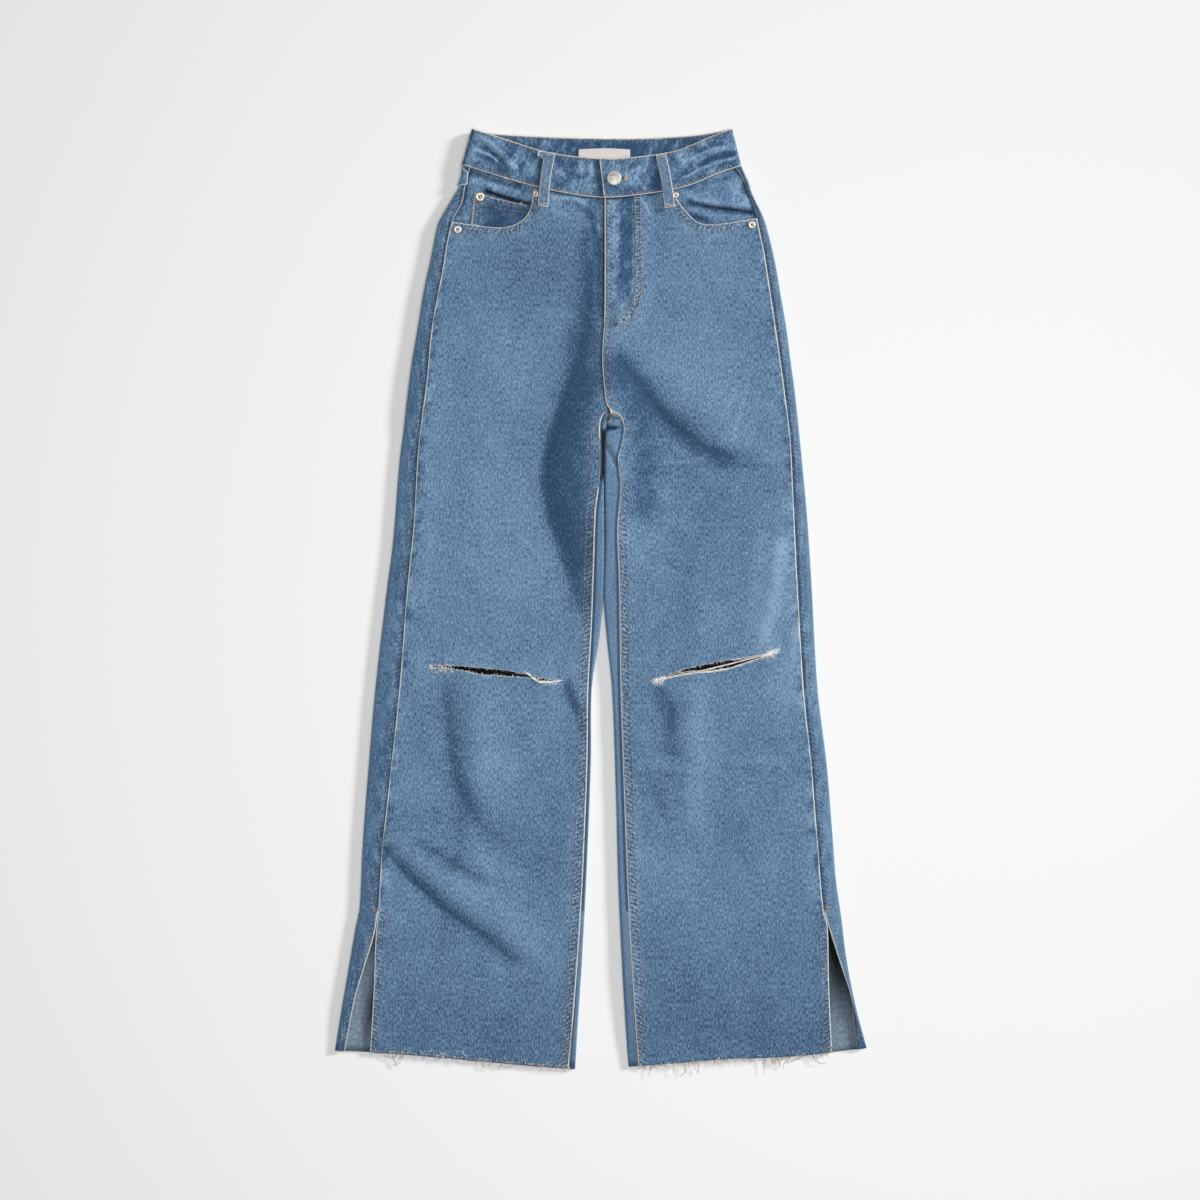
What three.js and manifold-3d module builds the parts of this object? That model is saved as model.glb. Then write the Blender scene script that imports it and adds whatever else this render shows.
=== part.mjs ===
// A pair of ripped jeans laid flat on its back, front upwards.
// Frame: +Y towards the waist, +Z up, the wearer's right leg at -X. Millimetres.
import * as THREE from 'three';
import { mergeVertices } from 'three/addons/utils/BufferGeometryUtils.js';
import Module from 'manifold-3d';

const wasm = await Module();
wasm.setup();

// ---- Driving dimensions ----------------------------------------------------

const CLOTH = 1.2; // wall of one layer of denim
const SEAM_GAP = 0.3; // between two pieces at a seam, and between two stacked layers
const HALF_GAP = SEAM_GAP / 2;
const WAIST_GAP = 0.5; // between the straight facets of the front's curved top edge and the waistband

const BAND_WALL = 2.4; // the folded waistband strip
const POCKET_WALL = 1.5; // back patch pocket with its turned edges
const SEAT_RISE = POCKET_WALL + SEAM_GAP; // the seat lies on its patch pockets
const LEG_LOFT = 2.8; // surface to the underside of the front, along the legs
const WAIST_LOFT = 1.7; // added where pocket layers lie under the front

const HEM_Y = -530;
const SIDE_SEAM_TOP_Y = 504;
const YOKE_SIDE_Y = 455;
const YOKE_DROP = 40; // the yoke seam's V: lower at the centre back
const CROTCH_Y = 208; // the back pieces lie flat above this
const CROTCH_ROLL_Y = 192; // the back pieces roll fully over the inseam below this
const SLIT_TOP_Y = -364;
const CENTRE_BACK_X = 4.8;

// Rows of the panels, by their height at the side seam, hem to waist.
const ROWS = [
  HEM_Y, -505, -475, -440, -400, -366, -320, -270, -215, -160, -105, -84, -50, 5, 60, 100, 140, 168,
  CROTCH_ROLL_Y, 200, CROTCH_Y, 218, 245, 275, 310, 335, 370, 405, 435, YOKE_SIDE_Y, 480, SIDE_SEAM_TOP_Y,
];

// Outlines and seams of each leg as [y, x], hem to waist.
const LEGS = {
  right: {
    side: -1,
    outline: [
      [-530, -311], [-481, -303], [-433, -294.8], [-385, -286.7], [-361, -282], [-290, -278.5], [-190, -270.9],
      [-106, -263.6], [13, -249.8], [65, -243], [157, -235.6], [198, -230.5], [269, -221.8], [322, -212.9],
      [357, -207.3], [399, -198.3], [436, -190.8], [447, -185.6], [468, -173], [483, -164], [505, -161],
    ],
    sideSeam: [
      [-530, -270], [-455, -265.6], [-394, -263.3], [-364, -260.4], [-295, -256.2], [-232, -249.2], [-106, -235.9],
      [12, -226.5], [89, -218.8], [159, -214.9], [198, -211.1], [256, -203.6], [316, -197.7], [386, -184.9],
      [421, -179.1], [445, -172.6], [461, -163.8], [483, -159.8], [504, -154.4],
    ],
    slitEdge: [[-530, -299.5], [-466, -286.7], [-427, -275.3], [-393, -264.9], [-364, -260.4]],
    inseam: [
      [-548, -38], [-493, -32.8], [-404, -26.1], [-329, -21.6], [-274, -19.2], [-190, -16], [-106, -15], [-35, -11.1],
      [43, -8.2], [101, -6.2], [132, -2.3], [159, -0.5], [192, -1.2], [209, 0.6], [218, 8.8], [230, 5.5],
      [279, 1.8], [332, 4.3], [470, 4.3],
    ],
    inner: [
      [-548, -31.4], [-478, -26.9], [-418, -22.2], [-329, -17.2], [-190, -11.7], [-106, -10.8], [-48, -2.3], [6, 3],
      [62, 4.4], [139, 3.9], [192, CENTRE_BACK_X],
    ],
  },
  left: {
    side: 1,
    outline: [
      [-530, 310.5], [-479, 297.6], [-421, 286.7], [-373, 280.8], [-329, 274.6], [-274, 270.3], [-190, 263.3],
      [-106, 253.1], [13, 246.2], [101, 240.4], [198, 231.1], [245, 225.8], [280, 221.1], [315, 216.5], [350, 210.6],
      [397, 202.4], [435, 193.1], [450, 187.7], [471, 177.3], [489, 170.5], [505, 164],
    ],
    sideSeam: [
      [-530, 270], [-448, 266.3], [-381, 264.6], [-364, 260], [-295, 253.9], [-200, 246.4], [-106, 236.9], [23, 229.3],
      [120, 224.6], [198, 220], [397, 191.9], [438, 183.7], [453, 181], [477, 172], [493, 166], [504, 159.1],
    ],
    slitEdge: [[-530, 298.4], [-481, 297], [-462, 291], [-431, 280.8], [-398, 270.3], [-364, 260]],
    inseam: [
      [-548, 44], [-501, 40.2], [-418, 35.1], [-329, 30.5], [-106, 22.8], [-48, 21.9], [23, 20.9], [82, 19],
      [132, 22.8], [165, 19], [188, 24.6], [200, 22], [209, 12], [218, 8.8], [230, 5.5], [279, 1.8], [332, 4.3],
      [470, 4.3],
    ],
    inner: [
      [-548, 33.6], [-493, 29.3], [-412, 23.9], [-329, 20.1], [-232, 17.6], [-106, 12.9], [-48, 7], [6, 3],
      [62, 4.4], [139, 3.9], [192, CENTRE_BACK_X],
    ],
  },
};

// Edges that run across the garment as [x, y].
const HEM = [[-311, -527], [-227, -532], [-118, -541.7], [-32, -548.7], [34, -548.7], [139, -540.5], [222, -537],
  [311, -527]];
const WAIST_SEAM = [[-163, 506.6], [-73.7, 480.2], [2.3, 468], [71.4, 475], [104, 482.6], [135.7, 495.6], [164, 505.4]];
const BAND_FRONT_TOP = [[-151, 548.7], [-73.7, 524.2], [-21, 515.3], [14.6, 513], [45.6, 516], [86.6, 520.6],
  [104, 529], [125, 538.2], [153, 548.7]];
const BAND_BACK_TOP = [[-151, 548.7], [-125, 543], [11.7, 537.5], [104, 541], [153, 548.7]];
const BAND_BACK_BOTTOM = [[-163, 506.6], [-120, 498.5], [0, 494], [120, 498.5], [164, 505.4]];
const BAND_FOLD_BOTTOM = { right: -162.6, left: 163.8 };
const BAND_FOLD_TOP = { right: -151, left: 153.3 };

// Front pocket mouths, centre to side seam, as [x, y].
const POCKET_MOUTHS = {
  right: [[-79.6, 468], [-81, 462], [-85.4, 450.5], [-97.7, 438.8], [-119, 433.6], [-147, 436.4], [-182, 441]],
  left: [[86, 470], [88.6, 466.8], [104, 448.7], [110.4, 441], [125.2, 437.1], [146.3, 438.8], [196, 446]],
};
const FACING_LAP = 14; // the facing runs this far under the front
const COIN_POCKET = [[-147.6, 474.4], [-83.4, 459.8], [-92, 432], [-153, 424]];

// Knee rips as [x, y], once round the opening.
const RIPS = {
  right: [[-195, -78.5], [-168, -78], [-118, -83], [-91, -87.5], [-77, -93], [-47, -94.5], [-55, -97], [-64, -99],
    [-80, -92], [-118, -90], [-150, -86.5], [-168, -82.5]],
  left: [[68, -95.5], [81, -86.5], [100, -80.5], [123, -75.5], [147, -71], [160, -68.5], [177, -68], [188, -66],
    [182, -72.5], [170, -74.5], [153, -79], [139, -81.8], [119, -85.4], [99, -87.8], [81, -91.2]],
};

// Soft folds of the front as straight runs: from, to, half-width and height (troughs are negative).
const FOLDS = [
  { from: [-222, -286], to: [-180, -367], width: 14, height: -1 },
  { from: [-180, -367], to: [-95, -430], width: 13, height: -1.1 },
  { from: [-200, -295], to: [-117, -346], width: 12, height: 1.1 },
  { from: [-158, -110], to: [-172, -290], width: 16, height: -0.9 },
  { from: [-128, -120], to: [-140, -280], width: 18, height: 1 },
  { from: [-12, 365], to: [-32, 262], width: 26, height: -1 },
  { from: [-32, 262], to: [-62, 150], width: 26, height: -1.1 },
  { from: [-62, 150], to: [-40, 0], width: 24, height: -0.9 },
  { from: [-20, 160], to: [-18, -40], width: 14, height: 1.5 },
  { from: [41, 278], to: [94, 198], width: 15, height: -1 },
  { from: [94, 198], to: [172, 160], width: 14, height: -1.1 },
  { from: [60, 290], to: [130, 215], width: 18, height: 1 },
  { from: [207, 45], to: [190, -60], width: 12, height: 1.6 },
  { from: [41, -198], to: [100, -202], width: 12, height: 0.9 },
  { from: [150, -193], to: [206, -196], width: 12, height: 0.9 },
  { from: [70, -240], to: [76, -290], width: 20, height: -0.9 },
];
const DEEPEST_FOLD = -1.2;
const HIGHEST_FOLD = 2.1;

const LABEL = { x: [-26.3, 33.9], y: [498, 526], wall: 1 };
const UNDERLAP_END_X = 28; // button end of the waistband, under the buttonhole end
const OVERLAP_END_X = -0.5;
const OVERLAP_BLEND = 26; // the upper end comes down to the band's level over this length

const LOOP_WIDTH = 12;
const LOOP_WALL = 1.5;
const LOOP_ARCH = 1.4;
const FRONT_LOOPS = {
  right: { top: [-59.4, 520], bottom: [-67.6, 457.5] },
  left: { top: [69.6, 518], bottom: [80.1, 456.3] },
};
const UNDER_LOOPS = {
  side_right: { top: [-140, 545], bottom: [-163.3, 482.5] },
  side_left: { top: [143, 545], bottom: [166.5, 480] },
  centre_back: { top: [2, 537], bottom: [4.8, 478] },
};

const BUTTON = { x: 15.2, y: 490, radius: 8.5, height: 2.8, shankRadius: 2.6, holeRadius: 3.2 };
const RIVETS = {
  right_outer: { x: -167.5, y: 431, radius: 4.4 },
  right_inner: { x: -76.3, y: 472.5, radius: 3.4 },
  left_inner: { x: 87.3, y: 471, radius: 3.4 },
  left_outer: { x: 176, y: 436.5, radius: 4.2 },
};
const COIN_RIVET = { x: -141.6, y: 469.5, radius: 5.2 };

// Back patch pockets as [x, y] on the wearer's left; the right one is mirrored.
const BACK_POCKET = [[38, 392], [168, 404], [168, 290], [104, 258], [42, 282]];

// ---- Levels of the layers ----------------------------------------------------

const BAND_BACK_Z = SEAT_RISE;
const LABEL_Z = BAND_BACK_Z + BAND_WALL + SEAM_GAP;
const BAND_FRONT_Z = LABEL_Z + LABEL.wall + SEAM_GAP;
const BAND_OVERLAP_Z = BAND_FRONT_Z + BAND_WALL + SEAM_GAP;
const LOOP_Z = BAND_FRONT_Z + BAND_WALL + SEAM_GAP;
const BUTTON_Z = BAND_OVERLAP_Z + BAND_WALL + SEAM_GAP;

// ---- Curves and levels over the garment ---------------------------------------

const smooth = THREE.MathUtils.smoothstep;
const lerp = THREE.MathUtils.lerp;

// A smooth curve through [at, value] points whose "at" rises; flat beyond its ends.
function curveThrough(points) {
  const slopes = points.map((p, i) => {
    const before = points[Math.max(i - 1, 0)];
    const after = points[Math.min(i + 1, points.length - 1)];
    return (after[1] - before[1]) / (after[0] - before[0]);
  });
  return (at) => {
    if (at <= points[0][0]) return points[0][1];
    for (let i = 1; i < points.length; i += 1) {
      const [a, va] = points[i - 1];
      const [b, vb] = points[i];
      if (at <= b) {
        const span = b - a;
        const t = (at - a) / span;
        const tt = t * t;
        const ttt = tt * t;
        return (2 * ttt - 3 * tt + 1) * va + (ttt - 2 * tt + t) * span * slopes[i - 1]
          + (3 * tt - 2 * ttt) * vb + (ttt - tt) * span * slopes[i];
      }
    }
    return points[points.length - 1][1];
  };
}

const hemY = curveThrough(HEM);
const waistY = curveThrough(WAIST_SEAM);
const bandFrontTop = curveThrough(BAND_FRONT_TOP);
const bandBackTop = curveThrough(BAND_BACK_TOP);
const bandBackBottom = curveThrough(BAND_BACK_BOTTOM);

for (const leg of Object.values(LEGS)) {
  for (const name of ['outline', 'sideSeam', 'slitEdge', 'inseam', 'inner']) {
    leg[`${name}X`] = curveThrough(leg[name]);
  }
}

const underY = (y) => SEAT_RISE * smooth(y, CROTCH_Y - 23, CROTCH_Y + 17); // underside of the back
const loftY = (y) => underY(y) + LEG_LOFT + WAIST_LOFT * smooth(y, 330, 430); // underside of the front

// Height of the folds at a point, fading out towards the leg's outline and inside the hip.
function foldHeight(x, y) {
  const leg = x < LEGS.left.inseamX(y) - 3 ? LEGS.right : LEGS.left;
  const toEdge = Math.abs(leg.outlineX(y) - x);
  const fade = smooth(toEdge, 6, 40) * (1 - smooth(y, 300, 360));
  let height = 0;
  for (const fold of FOLDS) {
    const dx = fold.to[0] - fold.from[0];
    const dy = fold.to[1] - fold.from[1];
    const along = ((x - fold.from[0]) * dx + (y - fold.from[1]) * dy) / (dx * dx + dy * dy);
    const t = Math.min(Math.max(along, 0), 1);
    const away = Math.hypot(x - fold.from[0] - t * dx, y - fold.from[1] - t * dy);
    height += fold.height * Math.exp(-((away / fold.width) ** 2));
  }
  return fade * Math.min(Math.max(height, DEEPEST_FOLD), HIGHEST_FOLD);
}

// Underside of the front layer at a point.
const frontZ = (x, y) => loftY(y) + foldHeight(x, y);

// A row's height at x: the lowest rows bend with the hem.
function rowY(leg, row, x) {
  const bend = 1 - smooth(row, HEM_Y, HEM_Y + 170);
  return row + bend * (hemY(x) - hemY(leg.sideSeamX(row)));
}

// ---- Solids --------------------------------------------------------------------

// Closes two like grids of points, [row][column] -> [x, y, z], into one wall.
function wallBetween(upper, lower) {
  const rows = upper.length;
  const columns = upper[0].length;
  const positions = [...upper.flat(2), ...lower.flat(2)];
  const at = (grid, i, j) => grid * rows * columns + i * columns + j;
  const index = [];
  const quad = (a, b, c, d) => index.push(a, b, c, a, c, d);
  for (let i = 0; i < rows - 1; i += 1) {
    for (let j = 0; j < columns - 1; j += 1) {
      quad(at(0, i, j), at(0, i, j + 1), at(0, i + 1, j + 1), at(0, i + 1, j));
      quad(at(1, i, j), at(1, i + 1, j), at(1, i + 1, j + 1), at(1, i, j + 1));
    }
    quad(at(0, i + 1, 0), at(1, i + 1, 0), at(1, i, 0), at(0, i, 0));
    quad(at(0, i, columns - 1), at(1, i, columns - 1), at(1, i + 1, columns - 1), at(0, i + 1, columns - 1));
  }
  for (let j = 0; j < columns - 1; j += 1) {
    quad(at(0, 0, j), at(1, 0, j), at(1, 0, j + 1), at(0, 0, j + 1));
    quad(at(0, rows - 1, j + 1), at(1, rows - 1, j + 1), at(1, rows - 1, j), at(0, rows - 1, j));
  }
  const geometry = new THREE.BufferGeometry();
  geometry.setAttribute('position', new THREE.Float32BufferAttribute(positions, 3));
  geometry.setIndex(index);
  return facingOut(geometry);
}

// Turns the triangles of a closed geometry over if its volume comes out negative.
function facingOut(geometry) {
  const p = geometry.getAttribute('position');
  const { array } = geometry.getIndex();
  const [a, b, c] = [new THREE.Vector3(), new THREE.Vector3(), new THREE.Vector3()];
  let volume = 0;
  for (let i = 0; i < array.length; i += 3) {
    a.fromBufferAttribute(p, array[i]);
    b.fromBufferAttribute(p, array[i + 1]);
    c.fromBufferAttribute(p, array[i + 2]);
    volume += a.dot(b.cross(c));
  }
  if (volume < 0) {
    for (let i = 0; i < array.length; i += 3) {
      [array[i], array[i + 1]] = [array[i + 1], array[i]];
    }
  }
  return geometry;
}

function toSolid(geometry) {
  const bare = geometry.clone();
  bare.deleteAttribute('normal');
  bare.deleteAttribute('uv');
  const merged = mergeVertices(bare, 1e-3);
  return new wasm.Manifold(new wasm.Mesh({
    numProp: 3,
    vertProperties: new Float32Array(merged.getAttribute('position').array),
    triVerts: new Uint32Array(merged.getIndex().array),
  }));
}

function toGeometry(solid) {
  const mesh = solid.getMesh();
  const geometry = new THREE.BufferGeometry();
  geometry.setAttribute('position', new THREE.Float32BufferAttribute(mesh.vertProperties, 3));
  geometry.setIndex([...mesh.triVerts]);
  return geometry;
}

// An upright prism over an outline of [x, y] points.
function prism(outline, low, high) {
  const shape = new THREE.Shape(outline.map(([x, y]) => new THREE.Vector2(x, y)));
  const geometry = new THREE.ExtrudeGeometry(shape, { depth: high - low, bevelEnabled: false });
  geometry.translate(0, 0, low);
  return geometry;
}

const denim = (color) => new THREE.MeshStandardMaterial({ color, roughness: 0.9, metalness: 0 });
const DENIM = 0x6b86a6;
const DENIM_DARK = 0x56708f;
const LABEL_CLOTH = 0xded7d3;
const METAL = 0xc4c0b8;

const jeans = new THREE.Group();

function addPiece(name, geometry, material) {
  const mesh = new THREE.Mesh(geometry, material);
  mesh.name = name;
  jeans.add(mesh);
}

// ---- Front panels, facings and coin pocket ---------------------------------------

const FRONT_COLUMNS = 12;
const TALL = 40; // reaches above and below every layer

// One layer over the whole front of a leg, side seam to inseam and fly, hem to waist.
function frontLayer(leg, underside, columns) {
  const inward = -leg.side * HALF_GAP;
  const upper = [];
  const lower = [];
  for (const row of ROWS) {
    const top = [];
    const bottom = [];
    const waistBend = smooth(row, CROTCH_Y + 60, SIDE_SEAM_TOP_Y);
    const seamX = leg.sideSeamX(row);
    for (let j = 0; j <= columns; j += 1) {
      const t = j / columns;
      let y = row;
      let x = lerp(seamX, leg.inseamX(y), t);
      for (let pass = 0; pass < 3; pass += 1) {
        y = rowY(leg, row, x) + waistBend * (waistY(x) - waistY(seamX));
        x = lerp(seamX + inward, leg.inseamX(y) - inward, t);
      }
      const z = underside(x, y);
      top.push([x, y - WAIST_GAP * waistBend, z + CLOTH]);
      bottom.push([x, y - WAIST_GAP * waistBend, z]);
    }
    upper.push(top);
    lower.push(bottom);
  }
  return wallBetween(upper, lower);
}

// The facing lies low, clear of the back's lower layer.
const facingZ = (x, y) => underY(y) + CLOTH + SEAM_GAP;

for (const [name, leg] of Object.entries(LEGS)) {
  const mouth = POCKET_MOUTHS[name];
  const beyond = leg.side * 260;
  const aboveMouth = [...mouth, [beyond, mouth[mouth.length - 1][1]], [beyond, 560], [mouth[0][0], 560]];
  const front = toSolid(frontLayer(leg, frontZ, FRONT_COLUMNS))
    .subtract(toSolid(prism(aboveMouth, -TALL, TALL)))
    .subtract(toSolid(prism(RIPS[name], -TALL, TALL)));
  addPiece(`front_${name}`, toGeometry(front), denim(DENIM));

  const lapped = mouth.map(([x, y]) => [x - leg.side * FACING_LAP * 0.6, y - FACING_LAP]);
  const facingArea = [...lapped, [beyond, lapped[lapped.length - 1][1]], [beyond, 560], [lapped[0][0], 560]];
  const facing = toSolid(frontLayer(leg, facingZ, FRONT_COLUMNS)).intersect(toSolid(prism(facingArea, -TALL, TALL)));
  addPiece(`pocket_facing_${name}`, toGeometry(facing), denim(DENIM_DARK));
}

const coinZ = SEAT_RISE + 2 * (CLOTH + SEAM_GAP);
addPiece('coin_pocket', prism(COIN_POCKET, coinZ, coinZ + CLOTH), denim(DENIM_DARK));

// ---- Back panels and yokes ----------------------------------------------------------

const BEND_STEPS = 4;
const STRIP_STEPS = 2;
const BOTTOM_STEPS = 5;

// The back's path across the garment at one row, as [distance from the centre, z], middle of the
// cloth: over the front from the side seam, round the outer edge, along the bottom, and either flat
// to the centre back (roll 0) or rolled up over the inner edge to the inseam (roll 1).
function backPath(leg, row, roll) {
  const outward = (x) => leg.side * x;
  const low = underY(row) + CLOTH / 2;
  const high = loftY(row) + CLOTH / 2;
  const radius = (high - low) / 2;
  const seamX = row <= SLIT_TOP_Y ? leg.slitEdgeX(row) : leg.sideSeamX(row);
  const edge = outward(leg.outlineX(row)) - CLOTH / 2 - radius;
  const start = Math.min(outward(seamX) + HALF_GAP, edge - 0.4);
  const path = [];
  for (let i = 0; i < STRIP_STEPS; i += 1) {
    path.push([lerp(start, edge, i / STRIP_STEPS), high]);
  }
  for (let i = 0; i <= BEND_STEPS; i += 1) {
    const turn = Math.PI * (i / BEND_STEPS);
    path.push([edge + radius * Math.sin(turn), low + radius * (1 + Math.cos(turn))]);
  }

  const inner = outward(roll > 0 ? leg.innerX(row) : CENTRE_BACK_X) + HALF_GAP;
  const strip = roll > 0 ? Math.max(outward(leg.inseamX(row)) - inner - radius - CLOTH / 2 - HALF_GAP, 0.5) : 0;
  const run = strip * roll * roll;
  const angle = Math.PI * roll;
  const arc = Math.PI * radius;
  const bendRadius = roll > 0 ? arc / angle : 0;
  const reach = roll > 0 ? bendRadius * Math.sin(Math.min(angle, Math.PI / 2)) + CLOTH / 2 : arc;
  const bend = inner + reach;
  for (let i = 1; i <= BOTTOM_STEPS; i += 1) {
    path.push([lerp(edge, bend, i / BOTTOM_STEPS), low]);
  }
  for (let i = 1; i <= BEND_STEPS; i += 1) {
    const share = i / BEND_STEPS;
    const turn = angle * share;
    if (roll > 0) {
      path.push([bend - bendRadius * Math.sin(turn), low + bendRadius * (1 - Math.cos(turn))]);
    } else {
      path.push([bend - arc * share, low]);
    }
  }
  const [lastU, lastZ] = path[path.length - 1];
  for (let i = 1; i <= STRIP_STEPS; i += 1) {
    const along = run * (i / STRIP_STEPS);
    if (roll > 0) path.push([lastU - along * Math.cos(angle), lastZ + along * Math.sin(angle)]);
  }
  if (roll === 0) {
    // The flat rows keep the same number of points: their last stretch is shared out again.
    const end = path.pop();
    for (let i = 1; i <= STRIP_STEPS + 1; i += 1) {
      path.push([lerp(path[path.length - 1][0], end[0], i / (STRIP_STEPS + 1)), low]);
    }
  }
  return path;
}

// A wall of cloth through the paths of several rows. yAt gives a point's height along the garment.
function backWall(leg, rows, rollAt, yAt) {
  const outer = [];
  const inner = [];
  for (const row of rows) {
    const path = backPath(leg, row, rollAt(row));
    const outerRow = [];
    const innerRow = [];
    path.forEach(([u, z], i) => {
      const [ub, zb] = path[Math.max(i - 1, 0)];
      const [ua, za] = path[Math.min(i + 1, path.length - 1)];
      const length = Math.hypot(ua - ub, za - zb);
      const across = [-(za - zb) / length, (ua - ub) / length];
      const x = leg.side * u;
      const y = yAt(row, x, z < (underY(row) + loftY(row)) / 2 + CLOTH / 2);
      const onFront = z > (underY(row) + loftY(row)) / 2 + CLOTH / 2;
      const fold = onFront ? foldHeight(x, y) : 0;
      outerRow.push([x - leg.side * across[0] * (CLOTH / 2), y, z - across[1] * (CLOTH / 2) + fold]);
      innerRow.push([x + leg.side * across[0] * (CLOTH / 2), y, z + across[1] * (CLOTH / 2) + fold]);
    });
    outer.push(outerRow);
    inner.push(innerRow);
  }
  return wallBetween(outer, inner);
}

const rollAt = (row) => 1 - smooth(row, CROTCH_ROLL_Y, CROTCH_Y);

// The yoke seam at x on the seat: a V that is lowest at the centre back.
const yokeDrop = (leg, x) => YOKE_DROP * (1 - Math.min(Math.abs(x / leg.outlineX(YOKE_SIDE_Y)), 1));

for (const [name, leg] of Object.entries(LEGS)) {
  const legRows = ROWS.filter((row) => row <= YOKE_SIDE_Y);
  addPiece(`back_${name}`, backWall(leg, legRows, rollAt, (row, x, onSeat) => {
    const drop = onSeat ? yokeDrop(leg, x) * smooth(row, 310, YOKE_SIDE_Y) : 0;
    const seam = row === YOKE_SIDE_Y ? SEAM_GAP : 0;
    return rowY(leg, row, x) - drop - seam;
  }), denim(DENIM));

  const yokeRows = ROWS.filter((row) => row >= YOKE_SIDE_Y);
  addPiece(`yoke_${name}`, backWall(leg, yokeRows, () => 0, (row, x, onSeat) => {
    const share = (row - YOKE_SIDE_Y) / (SIDE_SEAM_TOP_Y - YOKE_SIDE_Y);
    const bottom = YOKE_SIDE_Y - (onSeat ? yokeDrop(leg, x) : 0);
    const top = (onSeat ? bandBackBottom(x) : waistY(x)) - SEAM_GAP;
    return share === 0 ? bottom : lerp(bottom, top, share);
  }), denim(DENIM));

  const pocket = BACK_POCKET.map(([x, y]) => [leg.side * x, y]);
  addPiece(`back_pocket_${name}`, prism(pocket, 0, POCKET_WALL), denim(DENIM_DARK));
}

// ---- Waistband ------------------------------------------------------------------------

// The band's path from its buttonhole end, over the front, round the wearer's left fold, along the
// back, round the right fold and over the front to its button end.
const FRONT_STEPS = 12;
const BACK_STEPS = 10;
const ACROSS_STEPS = 3;

function bandPath(share) {
  const half = BAND_WALL / 2;
  const low = BAND_BACK_Z + half;
  const high = BAND_FRONT_Z + half;
  const radius = (high - low) / 2;
  const leftFold = lerp(BAND_FOLD_BOTTOM.left, BAND_FOLD_TOP.left, share) - half - radius;
  const rightFold = lerp(BAND_FOLD_BOTTOM.right, BAND_FOLD_TOP.right, share) + half + radius;
  const path = [];
  for (let i = 0; i < FRONT_STEPS; i += 1) {
    const x = lerp(OVERLAP_END_X, leftFold, (i / FRONT_STEPS) ** 1.3);
    const lift = 1 - smooth(x, UNDERLAP_END_X + 4, UNDERLAP_END_X + 4 + OVERLAP_BLEND);
    path.push({ x, z: high + lift * (BAND_OVERLAP_Z - BAND_FRONT_Z), front: true });
  }
  for (let i = 0; i <= BEND_STEPS; i += 1) {
    const turn = Math.PI * (i / BEND_STEPS);
    const z = low + radius * (1 + Math.cos(turn));
    path.push({ x: leftFold + radius * Math.sin(turn), z, front: i < BEND_STEPS / 2 });
  }
  for (let i = 1; i < BACK_STEPS; i += 1) {
    path.push({ x: lerp(leftFold, rightFold, i / BACK_STEPS), z: low, front: false });
  }
  for (let i = 0; i <= BEND_STEPS; i += 1) {
    const turn = Math.PI * (i / BEND_STEPS);
    const z = low + radius * (1 - Math.cos(turn));
    path.push({ x: rightFold - radius * Math.sin(turn), z, front: i > BEND_STEPS / 2 });
  }
  for (let i = 1; i <= FRONT_STEPS; i += 1) {
    path.push({ x: lerp(rightFold, UNDERLAP_END_X, i / FRONT_STEPS), z: high, front: true });
  }
  return path;
}

function waistband() {
  const outer = [];
  const inner = [];
  for (let row = 0; row <= ACROSS_STEPS; row += 1) {
    const share = row / ACROSS_STEPS;
    const path = bandPath(share);
    const outerRow = [];
    const innerRow = [];
    path.forEach(({ x, z, front }, i) => {
      const before = path[Math.max(i - 1, 0)];
      const after = path[Math.min(i + 1, path.length - 1)];
      const length = Math.hypot(after.x - before.x, after.z - before.z);
      const nx = (-(after.z - before.z) / length) * (BAND_WALL / 2);
      const nz = ((after.x - before.x) / length) * (BAND_WALL / 2);
      const bottom = front ? waistY(x) : bandBackBottom(x);
      const top = front ? bandFrontTop(x) : bandBackTop(x);
      const y = lerp(bottom, top, share);
      outerRow.push([x + nx, y, z + nz]);
      innerRow.push([x - nx, y, z - nz]);
    });
    outer.push(outerRow);
    inner.push(innerRow);
  }
  return wallBetween(outer, inner);
}

// The buttonhole goes through the upper end only.
const buttonhole = new THREE.CylinderGeometry(BUTTON.holeRadius, BUTTON.holeRadius, 2 * BAND_WALL, 12);
buttonhole.rotateX(Math.PI / 2);
buttonhole.translate(BUTTON.x, BUTTON.y, BAND_OVERLAP_Z - HALF_GAP + BAND_WALL);
addPiece('waistband', toGeometry(toSolid(waistband()).subtract(toSolid(buttonhole))), denim(DENIM));

const [labelLeft, labelRight] = LABEL.x;
const [labelLow, labelHigh] = LABEL.y;
const labelOutline = [[labelLeft, labelLow], [labelRight, labelLow], [labelRight, labelHigh], [labelLeft, labelHigh]];
addPiece('waist_label', prism(labelOutline, LABEL_Z, LABEL_Z + LABEL.wall), denim(LABEL_CLOTH));

// ---- Belt loops -----------------------------------------------------------------------

// A flat strip along a line, arched a little between its sewn ends.
function beltLoop({ top, bottom }, z, arch) {
  const along = new THREE.Vector2(bottom[0] - top[0], bottom[1] - top[1]);
  const side = new THREE.Vector2(-along.y, along.x).normalize().multiplyScalar(LOOP_WIDTH / 2);
  const steps = 6;
  const upper = [];
  const lower = [];
  for (let i = 0; i <= steps; i += 1) {
    const t = i / steps;
    const x = lerp(top[0], bottom[0], t);
    const y = lerp(top[1], bottom[1], t);
    const lift = z + arch * Math.sin(Math.PI * t) ** 2;
    lower.push([[x - side.x, y - side.y, lift], [x + side.x, y + side.y, lift]]);
    upper.push([[x - side.x, y - side.y, lift + LOOP_WALL], [x + side.x, y + side.y, lift + LOOP_WALL]]);
  }
  return wallBetween(upper, lower);
}

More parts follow.
